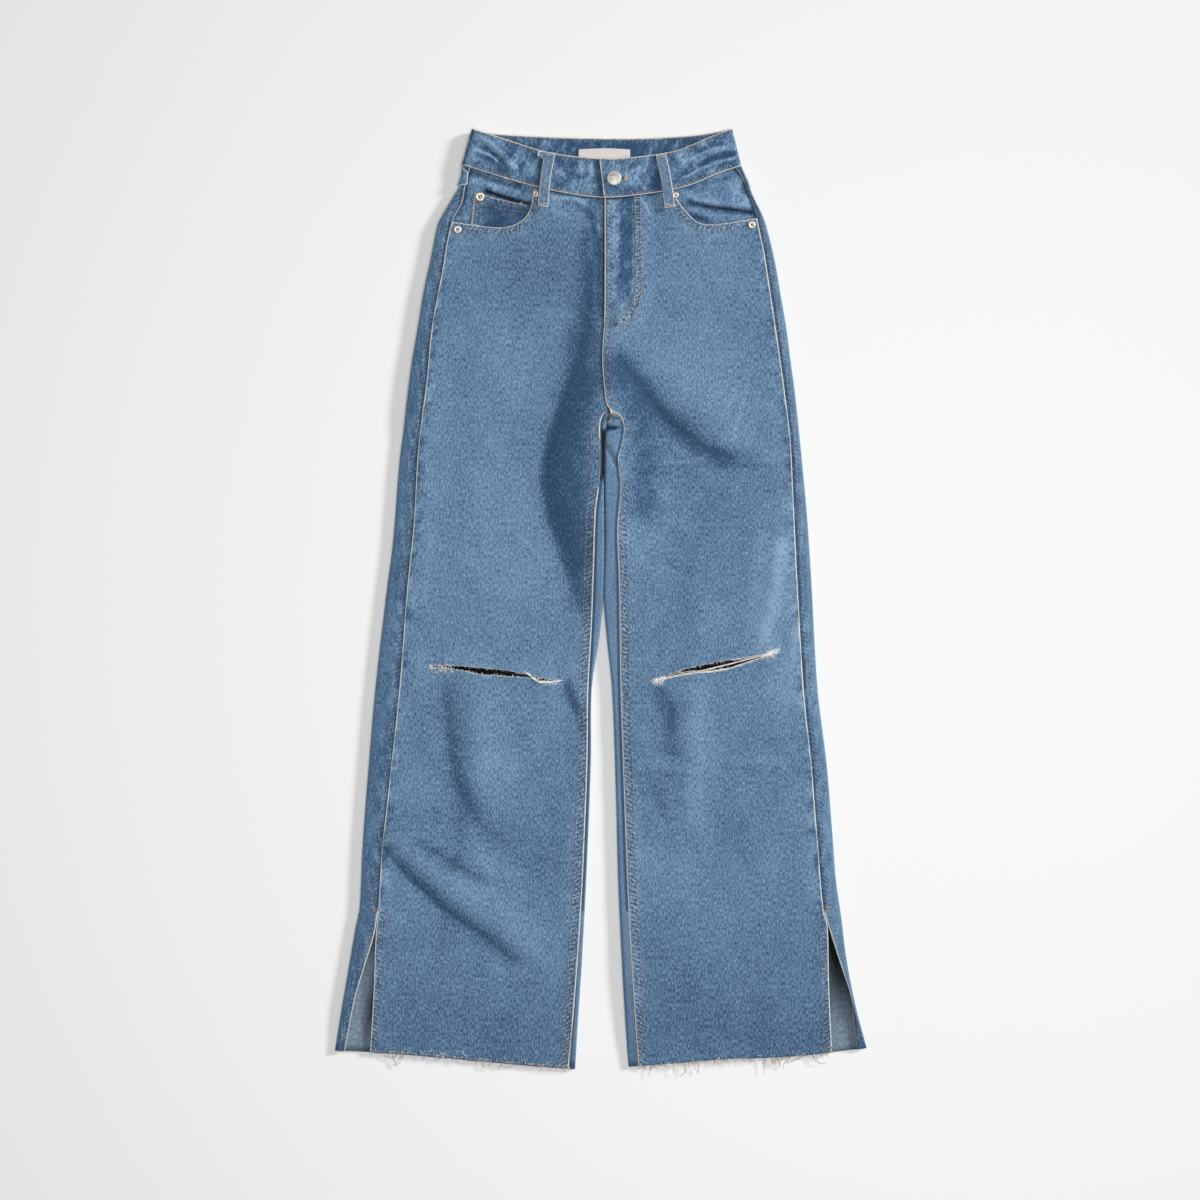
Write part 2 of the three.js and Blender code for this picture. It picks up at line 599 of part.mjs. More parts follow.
for (const [name, loop] of Object.entries(FRONT_LOOPS)) {
  addPiece(`belt_loop_front_${name}`, beltLoop(loop, LOOP_Z, LOOP_ARCH), denim(DENIM));
}
for (const [name, loop] of Object.entries(UNDER_LOOPS)) {
  addPiece(`belt_loop_${name}`, beltLoop(loop, 0, 0), denim(DENIM));
}

// ---- Button and rivets ------------------------------------------------------------------

const metal = () => new THREE.MeshStandardMaterial({ color: METAL, roughness: 0.35, metalness: 0.9 });

// Turns a profile of [radius, height] points, upright at x, y on z.
function turned(profile, segments, x, y, z) {
  const geometry = new THREE.LatheGeometry(profile.map(([r, h]) => new THREE.Vector2(r, h)), segments);
  geometry.rotateX(Math.PI / 2);
  geometry.translate(x, y, z);
  return geometry;
}

const shankFoot = -(BAND_WALL + SEAM_GAP);
const buttonRim = BUTTON.radius;
addPiece('button', turned([
  [0, shankFoot], [BUTTON.shankRadius, shankFoot], [BUTTON.shankRadius, 0], [buttonRim - 0.5, 0], [buttonRim, 0.6],
  [buttonRim, 1.9], [buttonRim - 0.9, BUTTON.height], [buttonRim - 1.9, BUTTON.height], [buttonRim - 2.7, 2.1],
  [0, 2.3],
], 24, BUTTON.x, BUTTON.y, BUTTON_Z), metal());

function rivet({ x, y, radius }, z) {
  const profile = [[0, 0], [radius - 0.3, 0], [radius, 0.3], [radius * 0.82, 1], [radius * 0.5, 0.9],
    [radius * 0.36, 0.5], [radius * 0.3, 1.2], [0, 1.4]];
  return turned(profile, 12, x, y, z);
}

for (const [name, place] of Object.entries(RIVETS)) {
  addPiece(`rivet_${name}`, rivet(place, frontZ(place.x, place.y) + CLOTH + SEAM_GAP), metal());
}
addPiece('rivet_coin_pocket', rivet(COIN_RIVET, coinZ + CLOTH + SEAM_GAP), metal());

// ---- The whole garment stands with the middle of its underside at the origin ---------------

const box = new THREE.Box3().setFromObject(jeans);
jeans.position.set(-(box.min.x + box.max.x) / 2, -(box.min.y + box.max.y) / 2, -box.min.z);

export default jeans;
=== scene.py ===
from math import atan2, cos, hypot, pi, radians, sin, sqrt

import bmesh
import bpy
import mathutils
import numpy as np
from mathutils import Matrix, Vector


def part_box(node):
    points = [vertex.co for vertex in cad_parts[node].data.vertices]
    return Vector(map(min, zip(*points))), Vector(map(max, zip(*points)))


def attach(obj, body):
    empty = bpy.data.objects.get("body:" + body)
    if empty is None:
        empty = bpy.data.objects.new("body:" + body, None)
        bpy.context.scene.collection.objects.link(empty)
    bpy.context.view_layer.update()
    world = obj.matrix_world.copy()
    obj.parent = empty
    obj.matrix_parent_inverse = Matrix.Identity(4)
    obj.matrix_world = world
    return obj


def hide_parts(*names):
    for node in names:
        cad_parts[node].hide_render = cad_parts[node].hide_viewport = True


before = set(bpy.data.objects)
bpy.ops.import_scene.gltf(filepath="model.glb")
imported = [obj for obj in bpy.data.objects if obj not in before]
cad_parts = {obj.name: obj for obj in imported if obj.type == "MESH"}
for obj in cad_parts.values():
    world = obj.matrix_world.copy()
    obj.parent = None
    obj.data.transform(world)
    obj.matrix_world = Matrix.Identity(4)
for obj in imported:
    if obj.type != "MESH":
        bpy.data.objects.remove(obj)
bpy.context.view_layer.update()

# ---- Camera -------------------------------------------------------------------------------------
# Straight above the garment, with the waist at the top of the view.

VIEW_WIDTH = 1.404  # metres of floor in view
camera_data = bpy.data.cameras.new("overhead_camera")
camera_data.lens = 85
camera_data.sensor_width = 36
camera = bpy.data.objects.new("overhead_camera", camera_data)
camera.location = (-0.001, -0.001, VIEW_WIDTH * camera_data.lens / camera_data.sensor_width)
bpy.context.collection.objects.link(camera)
bpy.context.scene.camera = camera

# ---- Floor and light ----------------------------------------------------------------------------
# A pale matt floor under a dim even sky, a soft lamp overhead and a large softbox far to the right, so
# that edges throw a short soft shadow to the left.

bm = bmesh.new()
bmesh.ops.create_grid(bm, x_segments=1, y_segments=1, size=6)
floor_mesh = bpy.data.meshes.new("floor")
bm.to_mesh(floor_mesh)
bm.free()
floor = bpy.data.objects.new("floor", floor_mesh)
floor.location.z = -0.0006  # just clear of the cloth
bpy.context.collection.objects.link(floor)


def new_material(name, settings):
    """A material with its shader's own sockets set, and the shader."""
    material = bpy.data.materials.new(name)
    material.use_nodes = True
    shader = material.node_tree.nodes["Principled BSDF"]
    for socket, value in settings.items():
        shader.inputs[socket].default_value = value
    return material, shader


floor_paint, _ = new_material("floor_paint", {
    "Base Color": (0.86, 0.86, 0.853, 1), "Roughness": 0.9, "Specular IOR Level": 0.1})
floor_mesh.materials.append(floor_paint)

world = bpy.data.worlds.new("studio_sky")
world.use_nodes = True
world.node_tree.nodes["Background"].inputs["Color"].default_value = (1, 1, 1, 1)
world.node_tree.nodes["Background"].inputs["Strength"].default_value = 0.155
bpy.context.scene.world = world
bpy.context.scene.view_settings.view_transform = "Standard"


def softbox(name, place, size, watts):
    """An area light at place, turned to the middle of the garment."""
    data = bpy.data.lights.new(name, "AREA")
    data.shape = "RECTANGLE"
    data.size, data.size_y = size
    data.energy = watts
    light = bpy.data.objects.new(name, data)
    light.location = place
    x, y, z = place
    light.rotation_euler = (0, atan2(hypot(x, y), z), atan2(y, x))
    bpy.context.collection.objects.link(light)


softbox("key_softbox", (16.9, 7.6, 6.1), (2.5, 3.2), 3900)
softbox("top_softbox", (0.35, -0.1, 2.7), (1.6, 1.6), 49)

# ---- Back leg panels ----------------------------------------------------------------------------
# Two panels of washed denim, cut wider than the fronts, so they roll round both edges of each leg
# onto the front. They are sewn to the fronts at the side seams and inseams, and the side seam is
# left open near the hem. Points are millimetres from the garment's middle; the wearer's right is -x.

MM = 0.001
CLOTH = 1.2 * MM  # one layer
BAND_WALL = 2.4 * MM  # the folded waistband
POCKET_WALL = 1.5 * MM  # a patch pocket with its turned edges
SEAT_RISE = 1.8 * MM  # the seat lies on its patch pockets
LEG_LOFT = 5.0 * MM  # surface to the underside of the front
WAIST_LOFT = -0.5 * MM  # less of it where the waistband holds the layers together
SEAM_GAP = 0.15 * MM  # each piece's half of the gap at a seam
HEM_Y = -530 * MM
SLIT_TOP_Y = -364 * MM
CROTCH_Y = 208 * MM
CROTCH_ROLL_Y = 198 * MM
YOKE_SIDE_Y = 455 * MM
YOKE_DROP = 40 * MM
SIDE_TOP_Y = 504 * MM
CENTRE_BACK_X = 4.8 * MM
FLY_X = 4 * MM
FAR = 0.1  # a distance out of reach of any mark beside a seam

LABEL_CORNER = (-26.3 * MM, 498 * MM)
shift_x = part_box("waist_label")[0][0] - LABEL_CORNER[0]
shift_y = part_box("waist_label")[0][1] - LABEL_CORNER[1]


def curve(points):
    """A smooth curve through [at, value] points in millimetres, flat beyond its ends, in metres."""
    at, value = np.array(points, float).T * MM
    slope = np.gradient(value, at) if len(at) < 3 else np.concatenate([
        [(value[1] - value[0]) / (at[1] - at[0])],
        (value[2:] - value[:-2]) / (at[2:] - at[:-2]),
        [(value[-1] - value[-2]) / (at[-1] - at[-2])],
    ])

    def along(x):
        x = np.clip(x, at[0], at[-1])
        i = np.clip(np.searchsorted(at, x, side="right") - 1, 0, len(at) - 2)
        span = at[i + 1] - at[i]
        t = (x - at[i]) / span
        start = (1 + 2 * t) * (1 - t) ** 2 * value[i] + t * (1 - t) ** 2 * span * slope[i]
        end = t * t * (3 - 2 * t) * value[i + 1] + t * t * (t - 1) * span * slope[i + 1]
        return start + end

    return along


class Leg:
    """The outline and seams of one leg, each giving x at a height y."""

    def __init__(self, side, **lines):
        self.side = side
        for name, points in lines.items():
            setattr(self, name, curve(points))


FLY_AND_CROTCH = [[218.5, 8.8], [230, 5.5], [279, 1.2], [332, 3.9], [470, 4.1]]
LEGS = {
    "right": Leg(
        -1,
        outline=[
            [-530, -311], [-481, -303], [-433, -294.8], [-385, -286.7], [-361, -282], [-290, -278.5],
            [-190, -270.9], [-106, -263.6], [13, -249.8], [65, -243], [157, -235.6], [198, -230.5],
            [269, -221.8], [322, -212.9], [357, -207.3], [399, -198.3], [436, -190.8], [447, -185.6],
            [468, -173], [483, -164], [505, -161]],
        side_seam=[
            [-530, -270], [-455, -265.6], [-394, -263.3], [-364, -260.4], [-295, -256.2], [-232, -249.2],
            [-106, -235.9], [12, -226.5], [89, -218.8], [159, -214.9], [198, -211.1], [256, -203.6],
            [316, -197.7], [386, -184.9], [421, -179.1], [445, -172.6], [461, -163.8], [483, -159.8],
            [504, -154.4]],
        slit_edge=[[-530, -299.5], [-466, -286.7], [-427, -275.3], [-393, -264.9], [-364, -260.4]],
        inseam=[
            [-548, -38], [-493, -32.8], [-404, -26.1], [-329, -21.6], [-274, -19.2], [-190, -16],
            [-106, -15], [-35, -11.1], [43, -8.2], [101, -6.2], [132, -2.3], [159, -0.5], [192, -1.2],
            [204, -1], [211.7, 1.2], [216.6, 4.7]] + FLY_AND_CROTCH,
        inner=[
            [-548, -31.4], [-478, -26.9], [-418, -22.2], [-329, -17.2], [-190, -11.7], [-106, -10.8],
            [-48, -2.3], [6, 3], [62, 4.4], [139, 3.9], [186, 4.4], [196, 5.6], [208, 8], [220, 8.6]]),
    "left": Leg(
        1,
        outline=[
            [-530, 310.5], [-479, 297.6], [-421, 286.7], [-373, 280.8], [-329, 274.6], [-274, 270.3],
            [-190, 263.3], [-106, 253.1], [13, 246.2], [101, 240.4], [198, 231.1], [245, 225.8],
            [280, 221.1], [315, 216.5], [350, 210.6], [397, 202.4], [435, 193.1], [450, 187.7],
            [471, 177.3], [489, 170.5], [505, 164]],
        side_seam=[
            [-530, 270], [-448, 266.3], [-381, 264.6], [-364, 260], [-295, 253.9], [-200, 246.4],
            [-106, 236.9], [23, 229.3], [120, 224.6], [198, 220], [397, 191.9], [438, 183.7],
            [453, 181], [477, 172], [493, 166], [504, 159.1]],
        slit_edge=[[-530, 298.4], [-481, 297], [-462, 291], [-431, 280.8], [-398, 270.3], [-364, 260]],
        inseam=[
            [-548, 44], [-501, 40.2], [-418, 35.1], [-329, 30.5], [-106, 22.8], [-48, 21.9], [23, 20.9],
            [82, 19], [132, 22.8], [163, 19.9], [176, 23], [191, 26.4], [201, 26.6], [210.6, 24],
            [217, 17.4], [221.5, 9.6]] + FLY_AND_CROTCH[1:],
        inner=[
            [-548, 33.6], [-493, 29.3], [-412, 23.9], [-329, 20.1], [-232, 17.6], [-106, 12.9], [-48, 7],
            [6, 3], [62, 4.4], [139, 3.9], [192, 4.8], [200, 6.6], [210, 9], [220, 9.4]]),
}
hem_line = curve([[-311, -527], [-227, -532], [-118, -541.7], [-32, -548.7], [34, -548.7], [139, -540.5],
                  [222, -537], [311, -527]])

# Soft folds of the front layer as runs of [x, y] points, each with its half-width and its height.
FOLDS = [
    ([[-57, 467.4], [-30.4, 465.7], [-12.9, 457], [-4, 444.6], [-2.3, 427]], 3.6, 1.5),
    ([[-30, 455], [-16, 446], [-9, 425], [-8, 400]], 4.5, -0.8),
    ([[-150, -96], [-148, -200], [-152, -300]], 20, 1.6),
    ([[208, 66], [202, 12], [190, -58]], 11, 1.3),
    ([[41, -198], [70, -199], [99, -202]], 7, 1.0),
    ([[151, -192], [180, -194], [208, -194]], 7, 1.0),
    ([[100, -110], [104, -180], [96, -230]], 18, 0.9),
    ([[-215, 180], [-206, 120], [-210, 40]], 11, 0.9),
    ([[-120, 250], [-150, 150], [-150, 40]], 30, 0.9),
    ([[120, 60], [110, -20]], 26, 0.8),
    ([[3, 179], [10, 169], [17, 155]], 3.2, -1.8),
    ([[11, 181], [17, 170], [20, 160]], 2.6, 1.0),
]

# Painted highlights and shade on the creases and slopes, partly worn tone, as runs of [x, y] points with
# half-width and how much paler or darker they are.
FOLD_WEAR_AND_SHADE = [
    ([[209, 60], [202, 12], [193, -30], [186, -60]], 9, 0.6),
    ([[228, 96], [224, 0], [220, -110]], 26, 0.45),
    ([[190, 70], [186, 10], [176, -50]], 12, 0.3),
    ([[236, 70], [231, -20], [226, -80]], 7, 0.4),
    ([[22, 276], [44, 248], [62, 222], [86, 197], [116, 174], [148, 160]], 9, -0.75),
    ([[18, 268], [36, 244], [46, 208], [50, 170], [48, 110]], 20, -0.95),
    ([[52, 158], [120, 161], [200, 162]], 2.2, 0.3),
    ([[60, 153], [120, 155.5], [196, 157]], 3, -0.2),
    ([[-232, -312], [-184, -360], [-136, -397], [-104, -421]], 10, -0.4),
    ([[-215, -285], [-178, -309], [-140, -331]], 7, -0.45),
    ([[-24, 300], [-38, 240], [-54, 185], [-60, 140], [-53, 95], [-36, 45], [-22, 0]], 15, -0.5),
    ([[-16, 250], [-30, 185], [-33, 140], [-30, 95], [-18, 50]], 19, -0.75),
    ([[-14, 420], [-19, 350], [-28, 290]], 13, -0.5),
    ([[-178, -104], [-176, -165], [-168, -214], [-140, -256]], 12, -0.35),
    ([[-38, -100], [-30, -124], [-20, -148]], 6, -0.6),
    ([[68, -112], [80, -140], [82, -176]], 10, -0.55),
    ([[110, -150], [118, -200], [112, -260]], 14, 0.25),
    ([[-110, -140], [-112, -205]], 22, 0.16),
    ([[-150, -272], [-110, -288], [-72, -302]], 34, -0.36),
    ([[-112, -352], [-64, -360]], 28, -0.2),
    ([[-262, -255], [-204, -264], [-190, -290]], 22, -0.25),
    ([[-265, -398], [-215, -402], [-180, -392]], 20, -0.26),
    ([[41, -290], [41, -400], [43, -470]], 7, 0.3),
    ([[247, -290], [250, -345]], 10, 0.25),
    ([[-62, 469], [-30, 467], [-13, 458], [-5, 445], [-4, 425]], 2.4, 0.7),
    ([[-14, 462], [-7, 452], [-3, 440]], 2.4, -1.1),
    ([[38, 474], [50, 462], [58, 448]], 2, 0.7),
    ([[-60, 462], [-52, 452], [-40, 446]], 2.6, 0.5),
    ([[100, -240], [150, -270]], 30, -0.15),
    ([[-130, -140], [-130, -240]], 60, -0.2),
    ([[84, 214], [108, 130], [112, 20], [108, -50]], 48, -0.17),
    ([[136, 170], [176, 160]], 11, -0.28),
]


# Broad steps of the front layer as runs of [x, y, height] points, with the width of the rise on the
# run's left side and the width over which the cloth settles again.
STEPS = [
    ([[-4, 440, 0.5], [-10, 410, 3], [-16, 380, 6], [-20, 340, 9], [-30, 290, 12], [-50, 235, 14.5],
      [-66, 190, 16], [-74, 140, 16], [-66, 95, 14], [-50, 45, 11], [-35, 5, 8], [-25, -22, 5],
      [-16, -56, 1], [-12, -80, 0]], 32, 150),
    ([[14, 284, 0.5], [34, 258, 4.2], [53, 232, 6.8], [72, 209, 7.6], [97, 188, 7.4], [122, 172, 5.6],
      [148, 162, 3.4], [176, 158, 1.6], [204, 157, 0.4], [220, 157, 0]], 15, 75),
    ([[-268, -270, 1], [-254, -294, 4], [-234, -320, 6.5], [-188, -363, 7], [-136, -400, 5.5],
      [-99, -426, 2.5], [-70, -446, 0]], 13, 52),
    ([[-215, -283, 0.5], [-180, -307, 2.6], [-145, -328, 2.6], [-112, -348, 0]], 11, 34),
    ([[-184, -100, 0.5], [-182, -160, 2.2], [-173, -214, 2.4], [-150, -258, 1.5], [-116, -288, 0.3]],
     13, 50),
    ([[58, -216, 0.3], [64, -244, 2], [80, -276, 0.3]], 10, 36),
    ([[-46, -96, 0.5], [-40, -118, 2.4], [-28, -142, 0.5]], 7, 26),
    ([[66, -100, 0.5], [78, -124, 1.8], [84, -160, 0]], 9, 34),
]


def smooth(value, low, high):
    t = np.clip((value - low) / (high - low), 0, 1)
    return t * t * (3 - 2 * t)


def rising(value, low, high):
    """From 0 at low to 1 at high, both in millimetres."""
    return smooth(value, low * MM, high * MM)


def falling(value, low, high):
    return 1 - rising(value, low, high)


def bell(value, width):
    """1 at 0, fading out over a width in millimetres."""
    return np.exp(-(value / (width * MM)) ** 2)


def mix(a, b, t):
    return a + (b - a) * t


def wander(x, y, size, seed):
    """Smooth random heights from -1 to 1, with bumps about size across."""
    lattice = np.random.default_rng(seed).uniform(-1, 1, (97, 97))
    u, v = np.asarray(x) / size + 41.3, np.asarray(y) / size + 43.7
    i, j = np.floor(u).astype(int), np.floor(v).astype(int)
    s, t = smooth(u - i, 0, 1), smooth(v - j, 0, 1)
    i, j = i % 96, j % 96
    near = mix(lattice[i, j], lattice[i + 1, j], s)
    return mix(near, mix(lattice[i, j + 1], lattice[i + 1, j + 1], s), t)


def hem_y(x):
    """The raw hem: cut by hand, so a little uneven."""
    return hem_line(x) + 0.35 * MM * wander(x, 0, 2.6 * MM, 8) + 0.25 * MM * wander(x, 0, 9 * MM, 9)


def to_run(x, y, run):
    """Distance of points from a run of [x, y] points in millimetres, and their place along it."""
    run = np.asarray(run, float) * MM
    x, y = np.asarray(x, float), np.asarray(y, float)
    best, place, before = np.full(x.shape, 9.0), np.zeros(x.shape), 0.0
    for (ax, ay), (bx, by) in zip(run[:-1], run[1:]):
        dx, dy = bx - ax, by - ay
        length = hypot(dx, dy)
        t = np.clip(((x - ax) * dx + (y - ay) * dy) / length ** 2, 0, 1)
        away = np.hypot(x - ax - t * dx, y - ay - t * dy)
        place = np.where(away < best, before + t * length, place)
        best = np.minimum(away, best)
        before += length
    return best, place


def run_sum(x, y, runs):
    """Sum of soft-edged runs, each [x, y] points with a half-width and a strength."""
    return sum(strength * bell(to_run(x, y, run)[0], width) for run, width, strength in runs)


def step_height(x, y, run, rise, settle):
    """Height of one broad step: quick up the left side of its run, then slowly down again."""
    away, along = to_run(x, y, np.array(run)[:, :2])
    run = np.array(run, float) * MM
    far = np.concatenate([[0], np.cumsum(np.hypot(*np.diff(run[:, :2], axis=0).T))])
    crossed = np.zeros(np.shape(x))
    nearest = np.full(np.shape(x), 1e9)
    for (ax, ay, _), (bx, by, _) in zip(run[:-1], run[1:]):
        dx, dy = bx - ax, by - ay
        t = np.clip(((x - ax) * dx + (y - ay) * dy) / (dx * dx + dy * dy), 0, 1)
        gap = np.hypot(x - ax - t * dx, y - ay - t * dy)
        side = dx * (y - ay) - dy * (x - ax)
        crossed = np.where(gap < nearest - 1e-9, side, crossed)
        nearest = np.minimum(gap, nearest)
    past = np.where(crossed > 0, away, 0)
    soft = 0.22 * rise * MM
    past = np.hypot(past, soft) - soft
    return np.interp(along, far, run[:, 2]) * (1 - np.exp(-past / (rise * MM))) * np.exp(
        -(past / (settle * MM)) ** 2)


def under_y(y):
    return SEAT_RISE * smooth(y, CROTCH_Y - 23 * MM, CROTCH_Y + 17 * MM)


def loft_y(y):
    """Underside of the front layer where it's smooth: nearly down on the back at the hems."""
    at_hem = falling(y, -548, -470)
    return under_y(y) + LEG_LOFT + WAIST_LOFT * rising(y, 330, 430) - 2.8 * MM * at_hem


def between_legs(x, y):
    """The leg whose side a point is on, as -1 or 1."""
    return np.where(x < LEGS["left"].inseam(y) - 3 * MM, -1, 1)


def crotch_lift(x, y):
    """The seams bulk up round the crotch and hold all the upper layers off the ones below."""
    right = step_height(x, y, *STEPS[0])
    at_fly = step_height(np.minimum(x, FLY_X), y, *STEPS[0])
    return np.where(x < FLY_X, right, at_fly * bell(np.maximum(x - FLY_X, 0), 52))


def folds_at(x, y):
    """Height of the folds, puckers and slow waves of the front layer."""
    edge = np.where(between_legs(x, y) < 0, x - LEGS["right"].outline(y), LEGS["left"].outline(y) - x)
    height = MM * run_sum(x, y, FOLDS)
    for step in STEPS[1:]:
        height = height + step_height(x, y, *step)
    slow = 0.5 * wander(x, y, 74 * MM, 3) + 0.28 * wander(x, y, 31 * MM, 4)
    slow = slow * (1 - 0.7 * rising(y, 300, 400))
    fine = 0.10 * wander(x, y, 13 * MM, 5)
    right, left = LEGS["right"].side_seam(y), LEGS["left"].side_seam(y)
    seam = np.abs(x - np.where(between_legs(x, y) < 0, right, left))
    pucker = 0.34 * wander(x * 0.35, y, 8 * MM, 6) * falling(seam, 4, 22)
    return (height + (slow + fine + pucker) * MM) * rising(edge, 1.5, 26)


def wear_and_shade_at(x, y, runs=FOLD_WEAR_AND_SHADE):
    """Painted highlight and shade of the creases, partly worn tone, a little broken along their length."""
    return run_sum(x, y, runs) * (1 + 0.3 * wander(x, y, 9 * MM, 35))


def front_top(x, y):
    """Upper face of the front layer."""
    return np.maximum(loft_y(y) + CLOTH + folds_at(x, y), under_y(y) + 3.0 * MM) + crotch_lift(x, y)


def row_y(leg, row, x):
    """A row's height at x: the lowest rows bend with the hem."""
    bend = 1 - smooth(row, HEM_Y, HEM_Y + 170 * MM)
    return row + bend * (hem_y(x) - hem_y(leg.side_seam(row)))


def leg_roll(leg, row):
    """1 where the back rolls fully over the inseam, 0 where it lies flat to the centre back."""
    higher = (14 if leg.side < 0 else 10) * MM
    return 1 - smooth(row, CROTCH_ROLL_Y + higher, CROTCH_Y + 2 * MM + higher)


def no_roll(leg, row):
    return np.zeros(np.shape(row))


STRIP, BEND, BOTTOM = 9, 8, 26  # steps of its path over the front, round an edge and underneath


def back_path(leg, step, row, roll):
    """x and z of the back's outer face at a step of its path, side seam to inseam or centre back."""
    low, high = under_y(row), loft_y(row) + CLOTH
    radius = (high - low) / 2
    seam = np.where(row <= SLIT_TOP_Y, leg.slit_edge(row), leg.side_seam(row)) * leg.side
    edge = leg.outline(row) * leg.side - radius
    start = np.minimum(seam + SEAM_GAP, edge - 0.4 * MM)
    inner = np.where(roll > 0, leg.inner(row), CENTRE_BACK_X) * leg.side + SEAM_GAP
    strip = np.maximum(leg.inseam(row) * leg.side - inner - radius - SEAM_GAP, 0.5 * MM) * roll ** 2
    strip = strip + 0.4 * MM * (1 - roll)
    inner = inner + 0.4 * MM * (1 - roll)
    angle = np.maximum(pi * roll, 1e-6)
    arc = pi * radius
    bend_radius = arc / angle
    reach = np.where(roll > 0, bend_radius * np.sin(np.minimum(angle, pi / 2)), arc)
    last = inner + reach

    on_strip = step / STRIP
    turn = np.clip((step - STRIP) / BEND, 0, 1) * pi
    bottom = np.clip((step - STRIP - BEND) / BOTTOM, 0, 1)
    inner_turn = np.clip((step - STRIP - BEND - BOTTOM) / BEND, 0, 1) * angle
    run = np.clip((step - STRIP - BEND - BOTTOM - BEND) / STRIP, 0, 1) * strip

    across = mix(start, edge, np.minimum(on_strip, 1))
    distance = np.where(step <= STRIP, across, edge + radius * np.sin(turn))
    height = np.where(step <= STRIP, high, low + radius * (1 + np.cos(turn)))
    flat = step > STRIP + BEND
    distance = np.where(flat, mix(edge, last, bottom), distance)
    height = np.where(flat, low, height)
    inside = step > STRIP + BEND + BOTTOM
    distance = np.where(inside, last - bend_radius * np.sin(inner_turn) - run * np.cos(angle), distance)
    height = np.where(inside, low + bend_radius * (1 - np.cos(inner_turn)) + run * np.sin(angle), height)
    return distance * leg.side, height


def cloth_mesh(name, grids, middle_z, wall, materials, merge=False):
    """A piece of cloth from one or more grids, each (columns, rows, place), where place gives a dict
    of arrays at the grid's u and v from 0 to 1: co, the points; cut, the flat pattern; and wear and painted
    shade."""
    bm = bmesh.new()
    cut = bm.verts.layers.float_vector.new("cut")
    wear = {key: bm.verts.layers.float.new(key) for key in WEAR_AND_SHADE}
    done = 0
    for columns, rows, place in grids:
        bmesh.ops.create_grid(bm, x_segments=columns, y_segments=rows, size=0.5)
        bm.verts.ensure_lookup_table()
        new = bm.verts[done:]
        u = np.array([v.co.x for v in new]) + 0.5
        v = np.array([v.co.y for v in new]) + 0.5
        made = place(u, v)
        x, y, z = made["co"]
        for k, vertex in enumerate(new):
            vertex.co = (x[k] + shift_x, y[k] + shift_y, z[k])
            vertex[cut] = (made["cut"][0][k], made["cut"][1][k], 0)
        for key, layer in wear.items():
            values = np.broadcast_to(made.get(key, WEAR_AND_SHADE[key]), u.shape)
            for k, vertex in enumerate(new):
                vertex[layer] = values[k]
        done = len(bm.verts)
    if merge:
        bmesh.ops.remove_doubles(bm, verts=bm.verts, dist=1e-5)
    bm.normal_update()
    if sum(f.calc_area() * f.normal.z * (1 if f.calc_center_median().z > middle_z else -1)
           for f in bm.faces) < 0:
        bmesh.ops.reverse_faces(bm, faces=bm.faces)
    for face in bm.faces:
        face.smooth = True
    mesh = bpy.data.meshes.new(name)
    bm.to_mesh(mesh)
    bm.free()
    for material in materials:
        mesh.materials.append(material)
    piece = bpy.data.objects.new(name, mesh)
    bpy.context.collection.objects.link(piece)
    solidify = piece.modifiers.new("wall", "SOLIDIFY")
    solidify.thickness = wall
    solidify.offset = -1
    solidify.material_offset = len(materials) - 1
    rim = piece.modifiers.new("rounded_rim", "BEVEL")
    rim.width = min(wall * 0.3, 0.45 * MM)
    rim.segments = 2
    rim.limit_method = "ANGLE"
    rim.angle_limit = radians(60)
    return piece


def declare(piece, node):
    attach(piece, "root")
    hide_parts(node)


# What each point of the cloth carries for its finish and its painted shade, and the value where nothing
# is near: distance from a sewn edge and the place along it, strength of the roping beside it, wash tone
# with painted shade and highlights, distance from a raw edge, painted shade on the inside near the rips,
# slits, crotch and pocket gaps, and how crumpled the cloth is.
WEAR_AND_SHADE = {"seam": FAR, "run": 0.0, "rope": 0.0, "fade": 0.0, "raw": FAR, "deep": 0.0, "crumple": 0.0}


class Graph:
    """Adds nodes to a node tree. Most methods give the new node's output."""

    def __init__(self, tree):
        self.nodes, self.links = tree.nodes, tree.links

    def feed(self, socket, value):
        """Sets a socket to a number, colour or vector, or links an output to it."""
        if isinstance(value, (int, float)):
            socket.default_value = value
        elif isinstance(value, tuple):
            socket.default_value = (*value, 1)[:len(socket.default_value)]
        else:
            self.links.new(value, socket)

    def new(self, kind, sockets, **settings):
        node = self.nodes.new("ShaderNode" + kind)
        for key, value in settings.items():
            setattr(node, key, value)
        for key, value in sockets.items():
            self.feed(node.inputs[key], value)
        return node

    def maths(self, operation, a, b, clamp=False):
        return self.new("Math", {0: a, 1: b}, operation=operation, use_clamp=clamp).outputs[0]

    def add(self, a, b, clamp=False):
        return self.maths("ADD", a, b, clamp)

    def less(self, a, b):
        return self.maths("SUBTRACT", a, b)

    def times(self, a, b):
        return self.maths("MULTIPLY", a, b)

    def ramp(self, source, low, high):
        """The source with low..high turned into 0..1, clamped."""
        sockets = {"Value": source, "From Min": low, "From Max": high}
        return self.new("MapRange", sockets, interpolation_type="SMOOTHSTEP").outputs["Result"]

    def blend(self, factor, a, b):
        """A mix of two colours."""
        return self.new("Mix", {0: factor, 6: a, 7: b}, data_type="RGBA").outputs[2]

    def mapping(self, vector, **turn_and_scale):
        return self.new("Mapping", {"Vector": vector, **turn_and_scale}).outputs["Vector"]

    def noise(self, vector, scale, detail, rough):
        """Noise stretched by scale = (x, y, z), from 0 to 1."""
        place = self.mapping(vector, Scale=scale)
        sockets = {"Vector": place, "Scale": 1, "Detail": detail, "Roughness": rough}
        return self.new("TexNoise", sockets).outputs["Fac"]

    def bump(self, height, distance, strength=1, **under):
        sockets = {"Height": height, "Distance": distance, "Strength": strength, **under}
        return self.new("Bump", sockets).outputs["Normal"]


